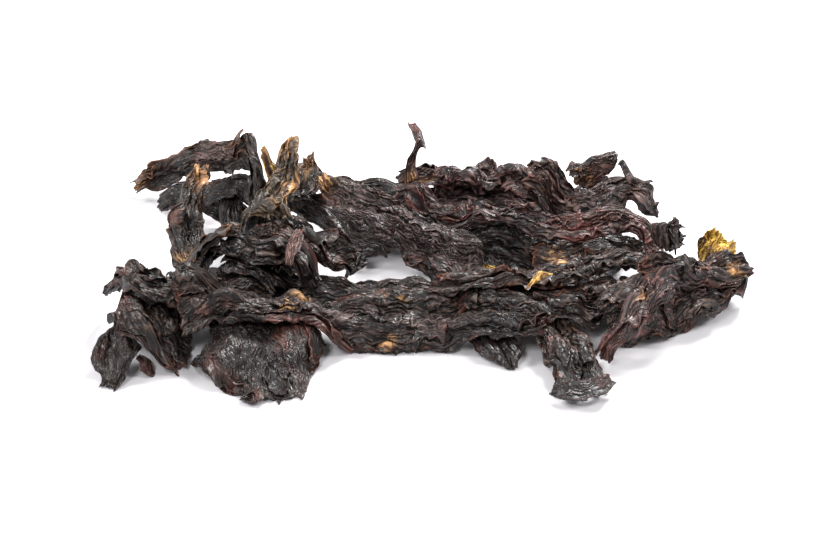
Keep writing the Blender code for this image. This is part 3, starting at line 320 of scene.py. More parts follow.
# Where a frond is not dark all over: each patch's place along and across it and its radius, in millimetres,
# and how strong it is. Amber is thin bleached blade and rust its red. The dusty patches are a greyer blade
# with painted sheen where upper faces catch the light. The dark patches are painted shade on the low fronds
# that lie under others and in the gaps between them, and elsewhere only darken the blade.
# A patch reaches further along the blade than across it, by its stretch.
PATCH_STRETCH = 1.5
PATCHES = {
    "left_column": {
        "amber": ((3, 0, 4.5, 0.8), (35, 3, 3, 0.6)),
        "rust": ((4, -2, 2.5, 0.7), (21, 3, 1.5, 0.5)),
        "dark": ((26, -2, 7, 0.7), (44, 0, 8, 0.7)),
    },
    "back_arch": {
        "amber": ((0, -1, 3, 0.7),),
        "rust": ((2, 0, 3.5, 0.5), (33, -1, 4.5, 0.3), (41, -2, 4, 0.3)),
        "dusty": ((36, 0, 6, 0.6),),
        "dark": ((14, 1, 7, 0.9), (22, 4, 5, 0.8), (51, 9, 6, 0.9), (62, 3, 9, 0.8)),
    },
    "tan_strand": {
        "amber": ((1, 2, 3, 0.7), (5, 2, 2.5, 0.4), (19, -4, 3, 0.8), (16, -5, 2.5, 0.7)),
        "dark": ((34, 3, 6, 0.7), (48, 0, 9, 0.8)),
    },
    "mid_left_frond": {"rust": ((32, -6, 2, 0.5), (40, -8, 2, 0.5))},
    "back_spur": {"amber": ((23, 1, 5, 0.6),), "rust": ((26, 1, 3.5, 0.5),), "dark": ((8, 0, 8, 0.7),)},
    "amber_spur": {"rust": ((9, 0, 7, 0.6),), "dark": ((0, 0, 6, 0.8), (5, -3, 3, 0.7))},
    "peak_frond": {
        "amber": ((0, 1, 3, 0.8), (3, 1, 3, 0.8)),
        "rust": ((8, 4, 3, 0.7), (44, 7, 2.5, 0.5), (32, 2, 2, 0.3)),
        "dusty": ((22, 2, 7, 0.8), (34, 3, 7, 0.8), (46, 0, 7, 0.8), (57, 0, 7, 0.7)),
        "dark": ((11, 7, 4, 0.9),),
    },
    "curl_tip": {
        "amber": ((36, 1, 2.5, 0.8),),
        "rust": ((5, 0, 3, 0.7), (2, -1, 3, 0.9)),
        "dark": ((12, 0, 6, 0.7),),
    },
    "left_back_mass": {
        "amber": ((10, 4, 2, 0.7),),
        "rust": ((24, 8, 5, 0.2), (37, 1, 5, 0.2)),
        "dusty": ((8, 0, 8, 0.8), (30, 0, 8, 0.8)),
    },
    "front_back_mass": {
        "rust": ((5, -4, 5, 0.3), (30, -2, 5, 0.2)),
        "dusty": ((10, 0, 8, 0.8), (32, 0, 8, 0.8)),
    },
    "right_back_mass": {
        "rust": ((3, 6, 6, 0.2), (20, 2, 5, 0.1)),
        "dusty": ((8, 0, 8, 0.8), (22, 0, 6, 0.7)),
    },
    "right_back_frond": {
        "rust": ((1, 1, 5, 0.3), (8, 1, 5, 0.3), (40, 0, 4, 0.2)),
        "dusty": ((20, 0, 8, 0.6), (38, 0, 6, 0.6)),
    },
    "red_strip": {
        "rust": ((32, 3, 3, 0.4), (43, -4, 3, 0.4), (56, 0, 4, 0.5), (66, -1, 4, 0.5), (72, 0, 3, 0.4),
                 (80, -3, 3, 0.4)),
        "dark": ((20, 0, 6, 0.6), (46, 2, 5, 0.5)),
    },
    "top_blade": {"amber": ((6, 2, 2.5, 0.4),), "rust": ((11, 3, 4, 0.6),)},
    "diagonal_band": {"amber": ((23, 0, 1.5, 0.8),), "rust": ((28, -1, 2.5, 0.6), (4, 0, 5, 0.7))},
    "ridge_frond": {"amber": ((32, 1, 2, 1),), "rust": ((6, 1, 2.5, 0.5), (24, -5, 2, 0.5))},
    # Painted shade: the dark patches on these low fronds stand for the shade under the fronds above them.
    "apron": {"dark": ((16, 0, 12, 0.9), (38, 0, 12, 0.9))},
    "low_back_mass": {"dark": ((12, 0, 14, 0.9), (40, 0, 14, 0.9))},
    "back_ribbon": {"dark": ((16, 0, 14, 0.8), (44, 0, 12, 0.8))},
    "loop_strand": {"dark": ((16, 0, 12, 0.8),)},
    "arch_bed": {"dark": ((10, 0, 12, 0.9),)},
    "orange_scrap": {"amber": ((6, 0, 5, 0.8),)},
    "amber_curl": {"amber": ((7, 0, 6, 0.7),), "rust": ((2, 0, 2, 0.6),)},
    "yellow_cup": {"rust": ((6, 1, 2, 0.7),), "dark": ((0, 0, 5, 1), (7, -7, 3, 1))},
    "right_lobe": {"rust": ((17, 6, 2, 0.4), (20, 2, 2, 0.3)), "dusty": ((20, 0, 8, 0.6), (40, 0, 8, 0.6))},
    "front_strand": {
        "amber": ((33, 4, 1.5, 0.8), (34, 0, 1, 0.7), (36, -5, 1.5, 0.8), (64, 7, 1, 0.8),
                  (62, 10, 1.5, 0.8), (62, -10, 1, 0.6), (67, -8, 1, 0.6)),
        "rust": ((31, 11, 3.5, 0.9), (38, 10, 3, 0.8), (45, 11, 3, 0.7), (51, 12, 2, 0.8), (57, 11, 2, 0.8),
                 (7, 5, 2, 0.6), (16, 7, 2, 0.6), (74, 12, 1.5, 0.8)),
        "dusty": ((24, -2, 6, 0.7), (44, 2, 6, 0.8), (60, -3, 6, 0.6), (76, 0, 7, 0.7)),
        "dark": ((93, 5, 7, 1), (101, 6, 6, 1), (84, 8, 6, 0.8)),
    },
    "front_lobe": {
        "rust": ((10, -7, 3, 0.9), (6, -14, 3, 0.8), (14, 16, 2.5, 0.7), (22, 12, 2.5, 0.7),
                 (31, 5, 2, 0.7), (24, -9, 2, 0.3)),
        "dark": ((10, -20, 6, 0.8), (6, 0, 8, 0.7), (20, 0, 12, 0.7)),
    },
    "glossy_frond": {"dark": ((6, 4, 12, 1),)},
    "left_drop": {"rust": ((13, 8, 2.5, 0.6), (9, -3, 2, 0.5), (25, 13, 2.5, 0.5))},
    "left_leaf": {"rust": ((12, 6, 2, 0.5),), "dark": ((12, -3, 6, 0.5),)},
    "right_strand": {"amber": ((43, -4, 1.5, 0.8),), "rust": ((43, 1, 2.5, 0.5),)},
    "bed_strand": {"amber": ((8, -2, 2, 0.8),)},
    "hook_frond": {"amber": ((0, -1, 1, 0.7), (5, -6, 1, 0.7)), "dark": ((22, 0, 9, 0.8),)},
    "hook_flap": {"rust": ((4, 1, 2.5, 0.4),), "dark": ((10, 0, 8, 0.8),)},
    "round_lobe": {"rust": ((11, 10, 2, 0.5),)},
}

# The tints that the patches give, with a painted shade colour for the folds and a painted highlight colour
# for the crests, each tint over the one before it.
TINTS = {
    # The dark tint is painted shade on low fronds under others, and elsewhere only darkens the blade.
    "dark": ((0.004, 0.003, 0.003, 1), (0.018, 0.012, 0.010, 1)),
    # The dusty tint is partly painted sheen on upper faces that catch the light.
    "dusty": ((0.014, 0.009, 0.008, 1), (0.135, 0.094, 0.088, 1)),
    "rust": ((0.030, 0.010, 0.008, 1), (0.13, 0.048, 0.036, 1)),
    "amber": ((0.08, 0.030, 0.012, 1), (0.50, 0.27, 0.105, 1)),
}

# The colours of one kind of dried blade: its darkest folds as painted shade, its face, its raised creases as
# painted highlight and its margins, and how rough it is.
Blade = namedtuple("Blade", "fold face crest margin roughness")
BLADES = {
    "black_blade": Blade((0.003, 0.002, 0.002, 1), (0.012, 0.007, 0.005, 1), (0.058, 0.036, 0.029, 1),
                         (0.11, 0.030, 0.018, 1), 0.42),
    "dark_blade": Blade((0.003, 0.002, 0.002, 1), (0.017, 0.009, 0.007, 1), (0.070, 0.043, 0.034, 1),
                        (0.14, 0.040, 0.020, 1), 0.44),
    "brown_blade": Blade((0.004, 0.003, 0.002, 1), (0.018, 0.011, 0.008, 1), (0.075, 0.048, 0.035, 1),
                         (0.18, 0.065, 0.025, 1), 0.46),
    "plum_blade": Blade((0.004, 0.002, 0.002, 1), (0.027, 0.013, 0.011, 1), (0.112, 0.064, 0.058, 1),
                        (0.16, 0.038, 0.028, 1), 0.44),
    "tan_blade": Blade((0.008, 0.005, 0.003, 1), (0.034, 0.021, 0.013, 1), (0.13, 0.086, 0.052, 1),
                       (0.26, 0.13, 0.038, 1), 0.44),
    "russet_blade": Blade((0.020, 0.008, 0.006, 1), (0.070, 0.030, 0.025, 1), (0.15, 0.080, 0.064, 1),
                          (0.22, 0.075, 0.040, 1), 0.46),
    "amber_blade": Blade((0.14, 0.052, 0.008, 1), (0.45, 0.24, 0.030, 1), (0.75, 0.51, 0.095, 1),
                         (0.72, 0.56, 0.16, 1), 0.40),
}

# The fine relief and mottling of the finish itself: how large its parts are, and how deep the relief is.
WRINKLE_WIDTH = 1.1 * MM
VEIN_WIDTH = 1.9 * MM
FIBRE_WIDTH = 0.45 * MM
SPECK_SIZE = 1.6 * MM
CLOUD_SIZE = 9 * MM
MARGIN_PATCH_SIZE = 14 * MM
EDDY_SIZE = 5 * MM
EDDY_REACH = 4 * MM
RELIEF_DEPTH = 0.45 * MM
SHINE = 0.33

# The floor, the soft light from each side, and the camera at the photograph's angle. A light has a place seen
# from what the camera aims at, a size and a power.
FLOOR_COLOUR = (0.56, 0.545, 0.565, 1)
FLOOR_HALF_SIZE = 3.0
DAYLIGHT = 0.52
SOFT_LIGHTS = (
    ("back_softbox", (0.3, 0.55, 0.7), 0.3, 18.0),
    ("left_softbox", (-0.7, 0.1, 0.6), 0.3, 8.0),
    ("right_softbox", (0.7, -0.2, 0.7), 0.3, 7.0),
    ("front_softbox", (-0.3, -0.6, 0.7), 0.3, 6.0),
)
AIM = Vector((0.8, -15, 12)) * MM
CAMERA_DISTANCE = 0.6
CAMERA_HEIGHT = math.radians(30)
CAMERA_LENS = 85


def seeded(frond, number):
    """A steady number from 0 to 1 for each frond."""
    letters = sum(ord(letter) * (place + 3) for place, letter in enumerate(frond.name))
    return (letters * (7 * number + 5) % 97) / 97


def bearer(frond):
    """The name of the frond itself, also where it is a layer on another."""
    return frond.name.partition("_layer")[0]


def rumple(*place):
    """Smooth noise, from about -1 to 1, at every place whose coordinates are given as arrays or numbers."""
    axes = np.broadcast_arrays(*place)
    values = [noise.noise(spot) for spot in zip(*(axis.ravel().tolist() for axis in axes))]
    return np.array(values).reshape(axes[0].shape)


def creased(*place):
    """Noise that comes to sharp crests, from about -1 to 0.5."""
    return 0.5 - 2.3 * np.abs(rumple(*place))


def dimples(*place):
    """Hollows that meet along sharp ridges: from 0 in the middle of a hollow to about 1 on a ridge."""
    axes = np.broadcast_arrays(*place)
    values = [noise.voronoi(spot)[0][0] for spot in zip(*(axis.ravel().tolist() for axis in axes))]
    return np.array(values).reshape(axes[0].shape)


def folds(u, v, spacing, swirl, seed):
    """Sharp folds side by side that wander and swirl, from 0 between them to 1 along their crests."""
    reach = 4 * spacing
    eddies = swirl * rumple(u / (2 * reach), v / reach, seed)
    phase = v / spacing + eddies + 0.7 * rumple(u / reach, v / spacing, seed)
    return 1 - np.abs(2 * (phase % 1) - 1)


def running_sums(steps):
    """The sum of each row's steps so far, from nothing."""
    return np.concatenate((np.zeros((*steps.shape[:-1], 1)), np.cumsum(steps, axis=-1)), axis=-1)


def middle_line(frond):
    """The frond's middle line at even steps, with the side and up directions it carries along."""
    table = np.array(frond.stations, dtype=float)
    table[:, :4] *= MM
    table[:, 4:] = np.radians(table[:, 4:])
    gaps = np.linalg.norm(np.diff(table[:, :3], axis=0), axis=1)
    knots = running_sums(gaps)
    slopes = np.gradient(table, knots, axis=0)
    where = np.linspace(0.0, knots[-1], LINE_STEPS + 1)
    left = np.clip(np.searchsorted(knots, where, side="right") - 1, 0, len(gaps) - 1)
    span = gaps[left][:, None]
    t = (where - knots[left])[:, None] / span
    curve = (2 * t**3 - 3 * t**2 + 1) * table[left] + (3 * t**2 - 2 * t**3) * table[left + 1]
    curve += span * ((t**3 - 2 * t**2 + t) * slopes[left] + (t**3 - t**2) * slopes[left + 1])
    travelled = running_sums(np.linalg.norm(np.diff(curve[:, :3], axis=0), axis=1))
    even = np.linspace(0.0, travelled[-1], LINE_STEPS + 1)
    curve = np.column_stack([np.interp(even, travelled, column) for column in curve.T])
    ahead = np.gradient(curve[:, :3], axis=0)
    ahead /= np.linalg.norm(ahead, axis=1)[:, None]
    up = np.zeros_like(ahead)
    carried = np.array((0.0, 0.0, 1.0))
    for step, direction in enumerate(ahead):
        carried = carried - carried.dot(direction) * direction
        carried = carried / np.linalg.norm(carried)
        up[step] = carried
    side = np.cross(ahead, up)
    roll = curve[:, 4][:, None]
    turned_side = np.cos(roll) * side + np.sin(roll) * up
    turned_up = np.cos(roll) * up - np.sin(roll) * side
    return travelled[-1], curve, ahead, turned_side, turned_up


def summed(slopes):
    """The running sum of each row of slopes, from nothing at its middle."""
    run = running_sums((slopes[:, 1:] + slopes[:, :-1]) / 2)
    middle = SECTION_STEPS // 2
    return (run - run[:, middle:middle + 1]) * 2 / SECTION_STEPS


def read_across(section, reach):
    """The value of each row's section where the blade reaches, from -1 at one margin to 1 at the other."""
    place = (reach + 1) / 2 * SECTION_STEPS
    left = np.clip(place.astype(int), 0, SECTION_STEPS - 1)
    part = place - left
    return np.take_along_axis(section, left, 1) * (1 - part) + np.take_along_axis(section, left + 1, 1) * part


def frayed(frond, travelled, s, edge):
    """How far the torn margin falls back in millimetres, with small nicks and a few deeper ones."""
    small = 0.5 - rumple(travelled / SMALL_NICK, edge, 8.0)
    deep = np.maximum(rumple(travelled / DEEP_NICK, edge, 5.0) - 0.2, 0.0)
    return frond.tear * np.abs(s)**3 * (0.35 * small + 2.6 * deep)


def blade_points(frond, rows, columns, fine=False):
    """A grid of points on the middle of the frond's blade, and how far along and across it each one is."""
    length, *lines = middle_line(frond)
    share = np.linspace(0.0, 1.0, rows + 1)
    steps = np.linspace(0.0, 1.0, LINE_STEPS + 1)
    here, ahead, side, up = (
        np.column_stack([np.interp(share, steps, axis) for axis in line.T]) for line in lines)
    travelled = share * length
    wander = 2.2 * rumple(travelled / GATHER_DRIFT_LENGTH, 7.3 * seeded(frond, 1), 0.0)
    swell = 1.0 + 0.5 * rumple(travelled / GATHER_DRIFT_LENGTH, 9.1 * seeded(frond, 2), 4.0)
    lobes = 1 + 0.25 * rumple(travelled / LOBE_LENGTH, 5.7 * seeded(frond, 7), 6.0)
    across = np.linspace(-1.0, 1.0, SECTION_STEPS + 1)
    phase = math.pi * frond.pleats * across + wander[:, None] + math.tau * seeded(frond, 3)
    pleat = math.radians(frond.gather) * swell[:, None] * np.sin(phase)
    half_width = (here[:, 3] / 2 * lobes / np.cos(pleat).mean(axis=1))[:, None]
    slack = MM * np.minimum(1.0, half_width / SLACK_WIDTH)
    turn = here[:, 5:6] * across / 2 + pleat
    slope = STEEPEST * np.tanh(turn / STEEPEST)
    span = np.cos(slope).mean(axis=1)[:, None]
    travelled = travelled[:, None]
    if fine:
        slope = STEEPEST * np.tanh((turn + small_folds(frond, travelled, across * half_width)) / STEEPEST)
        half_width = half_width * span / np.cos(slope).mean(axis=1)[:, None]
    s = np.linspace(-1.0, 1.0, columns + 1)
    edge = np.sign(s) * 11.0 * seeded(frond, 4)
    torn = rumple(travelled / TEAR_SIZE, edge, 2.0)
    reach = s * (1 - s * s * frond.tear * slack / half_width * (0.5 - torn))
    if fine:
        reach = reach * (1 - frayed(frond, travelled, s, edge) * slack / half_width)
    crossways = reach * half_width
    spot = (travelled / CRUMPLE_SIZE, crossways / CRUMPLE_SIZE, 31.0 * seeded(frond, 5))
    wave = np.sin(math.tau * (travelled / RUFFLE_LENGTH + seeded(frond, 6)) + 1.3 * np.sign(s))
    creases = 2.4 * rumple(*spot) + 0.9 * rumple(*(2.1 * axis for axis in spot))
    push = frond.crumple * creases + frond.ruffle * np.abs(s)**3 * wave
    tip = (2 * share[:, None] - 1)**5 * frond.tear * 1.6 * rumple(4.0 * s, 3.0, edge)
    if fine:
        tip = tip + (2 * share[:, None] - 1)**9 * frond.tear * rumple(crossways / TIP_NICK, 9.0, edge)
    points = (
        here[:, None, :3]
        + (half_width * read_across(summed(np.cos(slope)), reach))[..., None] * side[:, None]
        + (half_width * read_across(summed(np.sin(slope)), reach) + push * slack)[..., None] * up[:, None]
        + (tip * slack)[..., None] * ahead[:, None]
    )
    return points, travelled + 0 * crossways, crossways


def small_folds(frond, travelled, crossways):
    """The extra slope across the blade that gathers it into small folds, which wander and fade in places."""
    seed = 17.0 * seeded(frond, 8)
    drift = 2.6 * rumple(travelled / (9 * MM), crossways / (6 * MM), seed)
    strength = 0.55 + 1.1 * rumple(travelled / (13 * MM), crossways / (5 * MM), seed + 3.0)
    if frond.name in BROAD:
        strength = strength * 0.4
    return FOLD_STEEPNESS * strength * np.sin(math.tau * crossways / FOLD_SPACING + drift)


def along(grid, count, smooth):
    """The grid's rows resampled to one more than the count, on straight or on smooth lines between them."""
    place = np.linspace(0, len(grid) - 1, count + 1)
    left = np.minimum(place.astype(int), len(grid) - 2)
    t = (place - left).reshape(-1, *(1,) * (grid.ndim - 1))
    before, start, end, after = (grid[np.clip(left + step, 0, len(grid) - 1)] for step in (-1, 0, 1, 2))
    if not smooth:
        return start + t * (end - start)
    curved = 2 * before - 5 * start + 4 * end - after + t * (3 * (start - end) + after - before)
    return start + t / 2 * (end - before + t * curved)


def resampled(grid, rows, columns, smooth):
    """The grid with other numbers of rows and columns, over the same blade."""
    return along(along(grid, rows, smooth).swapaxes(0, 1), columns, smooth).swapaxes(0, 1)


def read_grid(grid, rows, columns):
    """The grid's values at places between its points, given in rows and columns."""
    i = np.clip(np.floor(rows).astype(int), 0, grid.shape[0] - 2)
    j = np.clip(np.floor(columns).astype(int), 0, grid.shape[1] - 2)
    down, over = (rows - i)[..., None], (columns - j)[..., None]
    near = grid[i, j] * (1 - down) + grid[i + 1, j] * down
    far = grid[i, j + 1] * (1 - down) + grid[i + 1, j + 1] * down
    return near * (1 - over) + far * over


def disk(cells):
    """The steps from a cell to every cell within so many of it."""
    reach = range(-cells, cells + 1)
    return [(i, j) for i in reach for j in reach if i * i + j * j <= (cells + 0.3)**2]


def shifted(field, offset, cells, filler):
    """The field moved by the offset of up to so many cells, with the filler where nothing moves in."""
    padded = np.pad(field, cells, constant_values=filler)
    i, j = cells + offset[0], cells + offset[1]
    return padded[i:i + field.shape[0], j:j + field.shape[1]]


def greatest_near(field, cells, filler):
    """The greatest value within so many cells of each one."""
    result = field
    for offset in disk(cells):
        result = np.maximum(result, shifted(field, offset, cells, filler))
    return result


def smoothly_over(field):
    """A smooth field that is nowhere below the one given."""
    peaks = greatest_near(field, BEND_CELLS + 1, 0.0)
    offsets = disk(BEND_CELLS)
    return sum(shifted(peaks, offset, BEND_CELLS, 0.0) for offset in offsets) / len(offsets)


def cells_under(points):
    """The row and the column of the cell under each point, and the point's height."""
    spread = points.reshape(-1, 3)
    row, column = np.floor((spread[:, :2] + HALF_SPAN) / CELL).astype(int).T
    return row, column, spread[:, 2]


def add_to_heap(heap, points):
    """Raises the heap to the highest of the points over each cell."""
    row, column, height = cells_under(points)
    np.maximum.at(heap, (row, column), height)


def lay(points, heap, thickness, gap, samples):
    """Lifts the grid of points clear of the floor and of the heap beneath it, then adds it to the heap."""
    rows, columns = points.shape[0] - 1, points.shape[1] - 1
    places = (points[..., :2] + HALF_SPAN) / CELL
    first = np.floor(places.min(axis=(0, 1))).astype(int) - WINDOW_CELLS
    last = np.floor(places.max(axis=(0, 1))).astype(int) + WINDOW_CELLS
    window = heap[first[0]:last[0], first[1]:last[1]]
    beneath = greatest_near(window, NEIGHBOUR_CELLS, EMPTY) + thickness + gap
    inside = places - first - 0.5
    for _ in range(LAY_PASSES):
        points[..., 2] = np.maximum(points[..., 2], thickness / 2)
        row, column, height = cells_under(resampled(points, rows * samples, columns * samples, False))
        low = np.full_like(window, -EMPTY)
        np.minimum.at(low, (row - first[0], column - first[1]), height)
        short = np.maximum(beneath - low, 0.0)
        if short.max() < SHORT_ENOUGH:
            break
        lift = smoothly_over(short)[..., None]
        points[..., 2] += read_grid(lift, inside[..., 0], inside[..., 1])[..., 0]
    add_to_heap(heap, resampled(points, rows * samples, columns * samples, False))


def face_normals(points):
    """The direction that the blade's surface faces at each of its points."""
    facing = np.cross(np.gradient(points, axis=1), np.gradient(points, axis=0))
    return facing / np.maximum(np.linalg.norm(facing, axis=2, keepdims=True), 1e-12)


def shortening(frond):
    """How much shorter along the blade its creases are than those of a gathered strand."""
    return BROAD_SHORTENING if frond.name in BROAD else 1.0


def smoothness(frond, travelled, crossways):
    """How far the membrane has dried smooth and glossy at each point, from 0 to 1."""
    base = SMOOTH.get(bearer(frond), 0.0)
    uneven = rumple(travelled / (8 * MM), crossways / (5 * MM), 29.0 * seeded(frond, 10))
    return np.clip(base + 0.7 * uneven, 0, 1)


def crumple_height(frond, travelled, crossways):
    """How far the dried membrane stands out of its smooth form, and how raised each point is, by which the
    finish paints highlight on raised parts and shade in hollows.

    Its folds run along it and swirl, strong in some places and smoothed out in others.
    """
    seed = 23.0 * seeded(frond, 9)
    u, v = travelled * shortening(frond) / MM, crossways / MM
    if frond.name in BROAD:
        wide = folds(u, v, BROAD_SPACING, BROAD_SWIRL, seed)
    else:
        wide = folds(u, v, STRAND_SPACING, STRAND_SWIRL, seed)
    rough = 1 - 0.6 * smoothness(frond, travelled, crossways)
    strong = rough * np.clip(0.6 + 1.4 * rumple(u / 9, v / 6, seed + 4), 0.1, 1.3)
    bent = rumple(u / 3, v / 2, seed + 7)
    crumpled = dimples(u / 3.4 + 0.5 * bent, v / 1.9 + 0.5 * bent, seed + 11) - 0.45
    sharp = creased(u / 6, v / 4, seed + 15)
    height = 0.8 * strong * (wide**1.4 - 0.4) + 0.45 * rough * crumpled + 0.35 * sharp
    return frond.crumple / 1.4 * MM * height, strong * (wide**2 - 0.45) + 0.6 * rough * crumpled


def margin_nearness(points):
    """One at the blade's torn margins and ends, fading out within a few millimetres."""
    run = running_sums(np.linalg.norm(np.diff(points, axis=1), axis=2))
    aside = np.minimum(run, run[:, -1:] - run)
    row = np.arange(len(points))[:, None]
    ends = np.minimum(row, len(points) - 1 - row) * FINE_CELL[0]
    return np.exp(-np.minimum(aside, ends) / THIN_MARGIN)


def patch_strength(frond, mark, travelled, crossways):
    """How much of one colour the frond's patches give each point, with broken edges."""
    total = np.zeros_like(crossways)
    uneven = rumple(travelled / (4.0 * MM), crossways / (1.3 * MM), 40.0)
    uneven += 0.4 * rumple(travelled / (1.3 * MM), crossways / (0.7 * MM), 44.0)
    for along_it, across_it, radius, strength in PATCHES.get(bearer(frond), {}).get(mark, ()):
        apart = np.hypot((travelled - along_it * MM) / PATCH_STRETCH, crossways - across_it * MM)
        total += strength * np.clip(1.2 - apart / (radius * MM) + uneven, 0, 1)
    return np.clip(total, 0, 1)


def blade_mesh(name, points, travelled, crossways, marks):
    """A grid moved to the points, with its own map in metres along and across, and a value for each mark."""
    rows, columns = points.shape[0] - 1, points.shape[1] - 1
    blade = bmesh.new()
    bmesh.ops.create_grid(blade, x_segments=columns, y_segments=rows, size=1.0)
    mesh = bpy.data.meshes.new(name)
    blade.to_mesh(mesh)
    blade.free()
    flat = np.empty(len(mesh.vertices) * 3)
    mesh.vertices.foreach_get("co", flat)
    place = np.rint((flat.reshape(-1, 3)[:, :2] + 1) / 2 * (columns, rows)).astype(int)
    column, row = place.T
    mesh.vertices.foreach_set("co", points[row, column].ravel())
    corners = np.empty(len(mesh.loops), np.int32)
    mesh.loops.foreach_get("vertex_index", corners)
    spread = np.stack((travelled, crossways), axis=-1)[row, column]
    mesh.uv_layers.new(name="blade").uv.foreach_set("vector", spread[corners].ravel())
    for mark, values in marks.items():
        mesh.attributes.new(mark, "FLOAT", "POINT").data.foreach_set("value", values[row, column])
    mesh.shade_smooth()
    mesh.update()
    return mesh


class Signal:
    """A number that varies over a surface, so that shader maths reads as sums."""

    def __init__(self, finish, socket):
        self.finish = finish
        self.socket = socket

    def __add__(self, other):
        return self.finish.sum_of("ADD", self, other)

    def __sub__(self, other):
        return self.finish.sum_of("SUBTRACT", self, other)

    def __rsub__(self, other):
        return self.finish.sum_of("SUBTRACT", other, self)

    def __mul__(self, other):
        return self.finish.sum_of("MULTIPLY", self, other)

    __radd__ = __add__
    __rmul__ = __mul__


class Finish:
    """One material, with the nodes that its surface needs."""

    def __init__(self, name):
        self.material = bpy.data.materials.new(name)
        self.material.use_nodes = True
        self.tree = self.material.node_tree
        self.shader = self.tree.nodes["Principled BSDF"]

    def node(self, kind, settings, values):
        """A new node of the kind, with its settings made first and then its sockets."""
        made = self.tree.nodes.new(kind)
        for setting, value in settings.items():
            setattr(made, setting, value)
        self.set_sockets(made, values)
        return made

    def set_sockets(self, made, values):
        """Links or sets each of the node's sockets that is named."""
        for socket, value in values.items():
            if isinstance(value, Signal):
                self.tree.links.new(value.socket, made.inputs[socket])
            elif isinstance(value, bpy.types.NodeSocket):
                self.tree.links.new(value, made.inputs[socket])
            else:
                made.inputs[socket].default_value = value

    def sum_of(self, operation, first, second):
        """The sum, difference or other Math operation of two numbers or signals."""
        made = self.node("ShaderNodeMath", {"operation": operation}, {0: first, 1: second})
        return Signal(self, made.outputs[0])

    def held(self, signal, low, high):
        """The signal as a share from 0 to 1 of the way from low to high."""
        settings = {"interpolation_type": "SMOOTHSTEP"}
        values = {"Value": signal, "From Min": low, "From Max": high}
        return Signal(self, self.node("ShaderNodeMapRange", settings, values).outputs[0])

    def mark(self, name):
        """A value that the blade's mesh carries at each of its points."""
        settings = {"attribute_type": "GEOMETRY", "attribute_name": name}
        return Signal(self, self.node("ShaderNodeAttribute", settings, {}).outputs["Fac"])

    def mottle(self, where, size, detail=2.0, roughness=0.5):
        """Cloudy noise whose lumps are about the given size."""
        values = {"Vector": where, "Scale": 1 / size, "Detail": detail, "Roughness": roughness}
        return Signal(self, self.node("ShaderNodeTexNoise", {}, values).outputs["Fac"])

    def creases(self, where, spacing):
        """Sharp crests in swirling lines, from 0 between them to 1 along them."""
        values = {"Vector": where, "Scale": 1 / spacing, "Detail": 1.0, "Distortion": 0.8}
        cloud = Signal(self, self.node("ShaderNodeTexNoise", {}, values).outputs["Fac"])
        return self.held(self.sum_of("ABSOLUTE", cloud - 0.5, 0), 0.11, 0.0)

    def folds(self, where, spacing, swirl):
        """Fine sharp folds side by side that wander and swirl, from 0 between them to 1 on their crests."""
        across = Signal(self, self.node("ShaderNodeSeparateXYZ", {}, {0: where}).outputs["Y"])
        cloud = self.mottle(self.stretched(where, (0.35, 1, 1)), 5 * spacing, detail=1.0)
        return self.sum_of("PINGPONG", across * (1 / spacing) + cloud * swirl, 0.5) * 2

    def swirled(self, where, size, reach):
        """The place, carried off by up to the reach in eddies of the given size."""
        eddies = self.node("ShaderNodeTexNoise", {}, {"Vector": where, "Scale": 1 / size, "Detail": 1.0})
        away = self.stretched(eddies.outputs["Color"], (reach, reach, 0))
        return self.node("ShaderNodeVectorMath", {"operation": "ADD"}, {0: where, 1: away}).outputs[0]

    def blend(self, share, first, second):
        """The first colour going over to the second as the share goes from 0 to 1."""
        values = {0: share, 6: first, 7: second}
        return self.node("ShaderNodeMix", {"data_type": "RGBA"}, values).outputs[2]

    def stretched(self, where, scale):
        """The place with each of its axes multiplied by its own scale."""
        return self.node("ShaderNodeVectorMath", {"operation": "MULTIPLY"}, {0: where, 1: scale}).outputs[0]


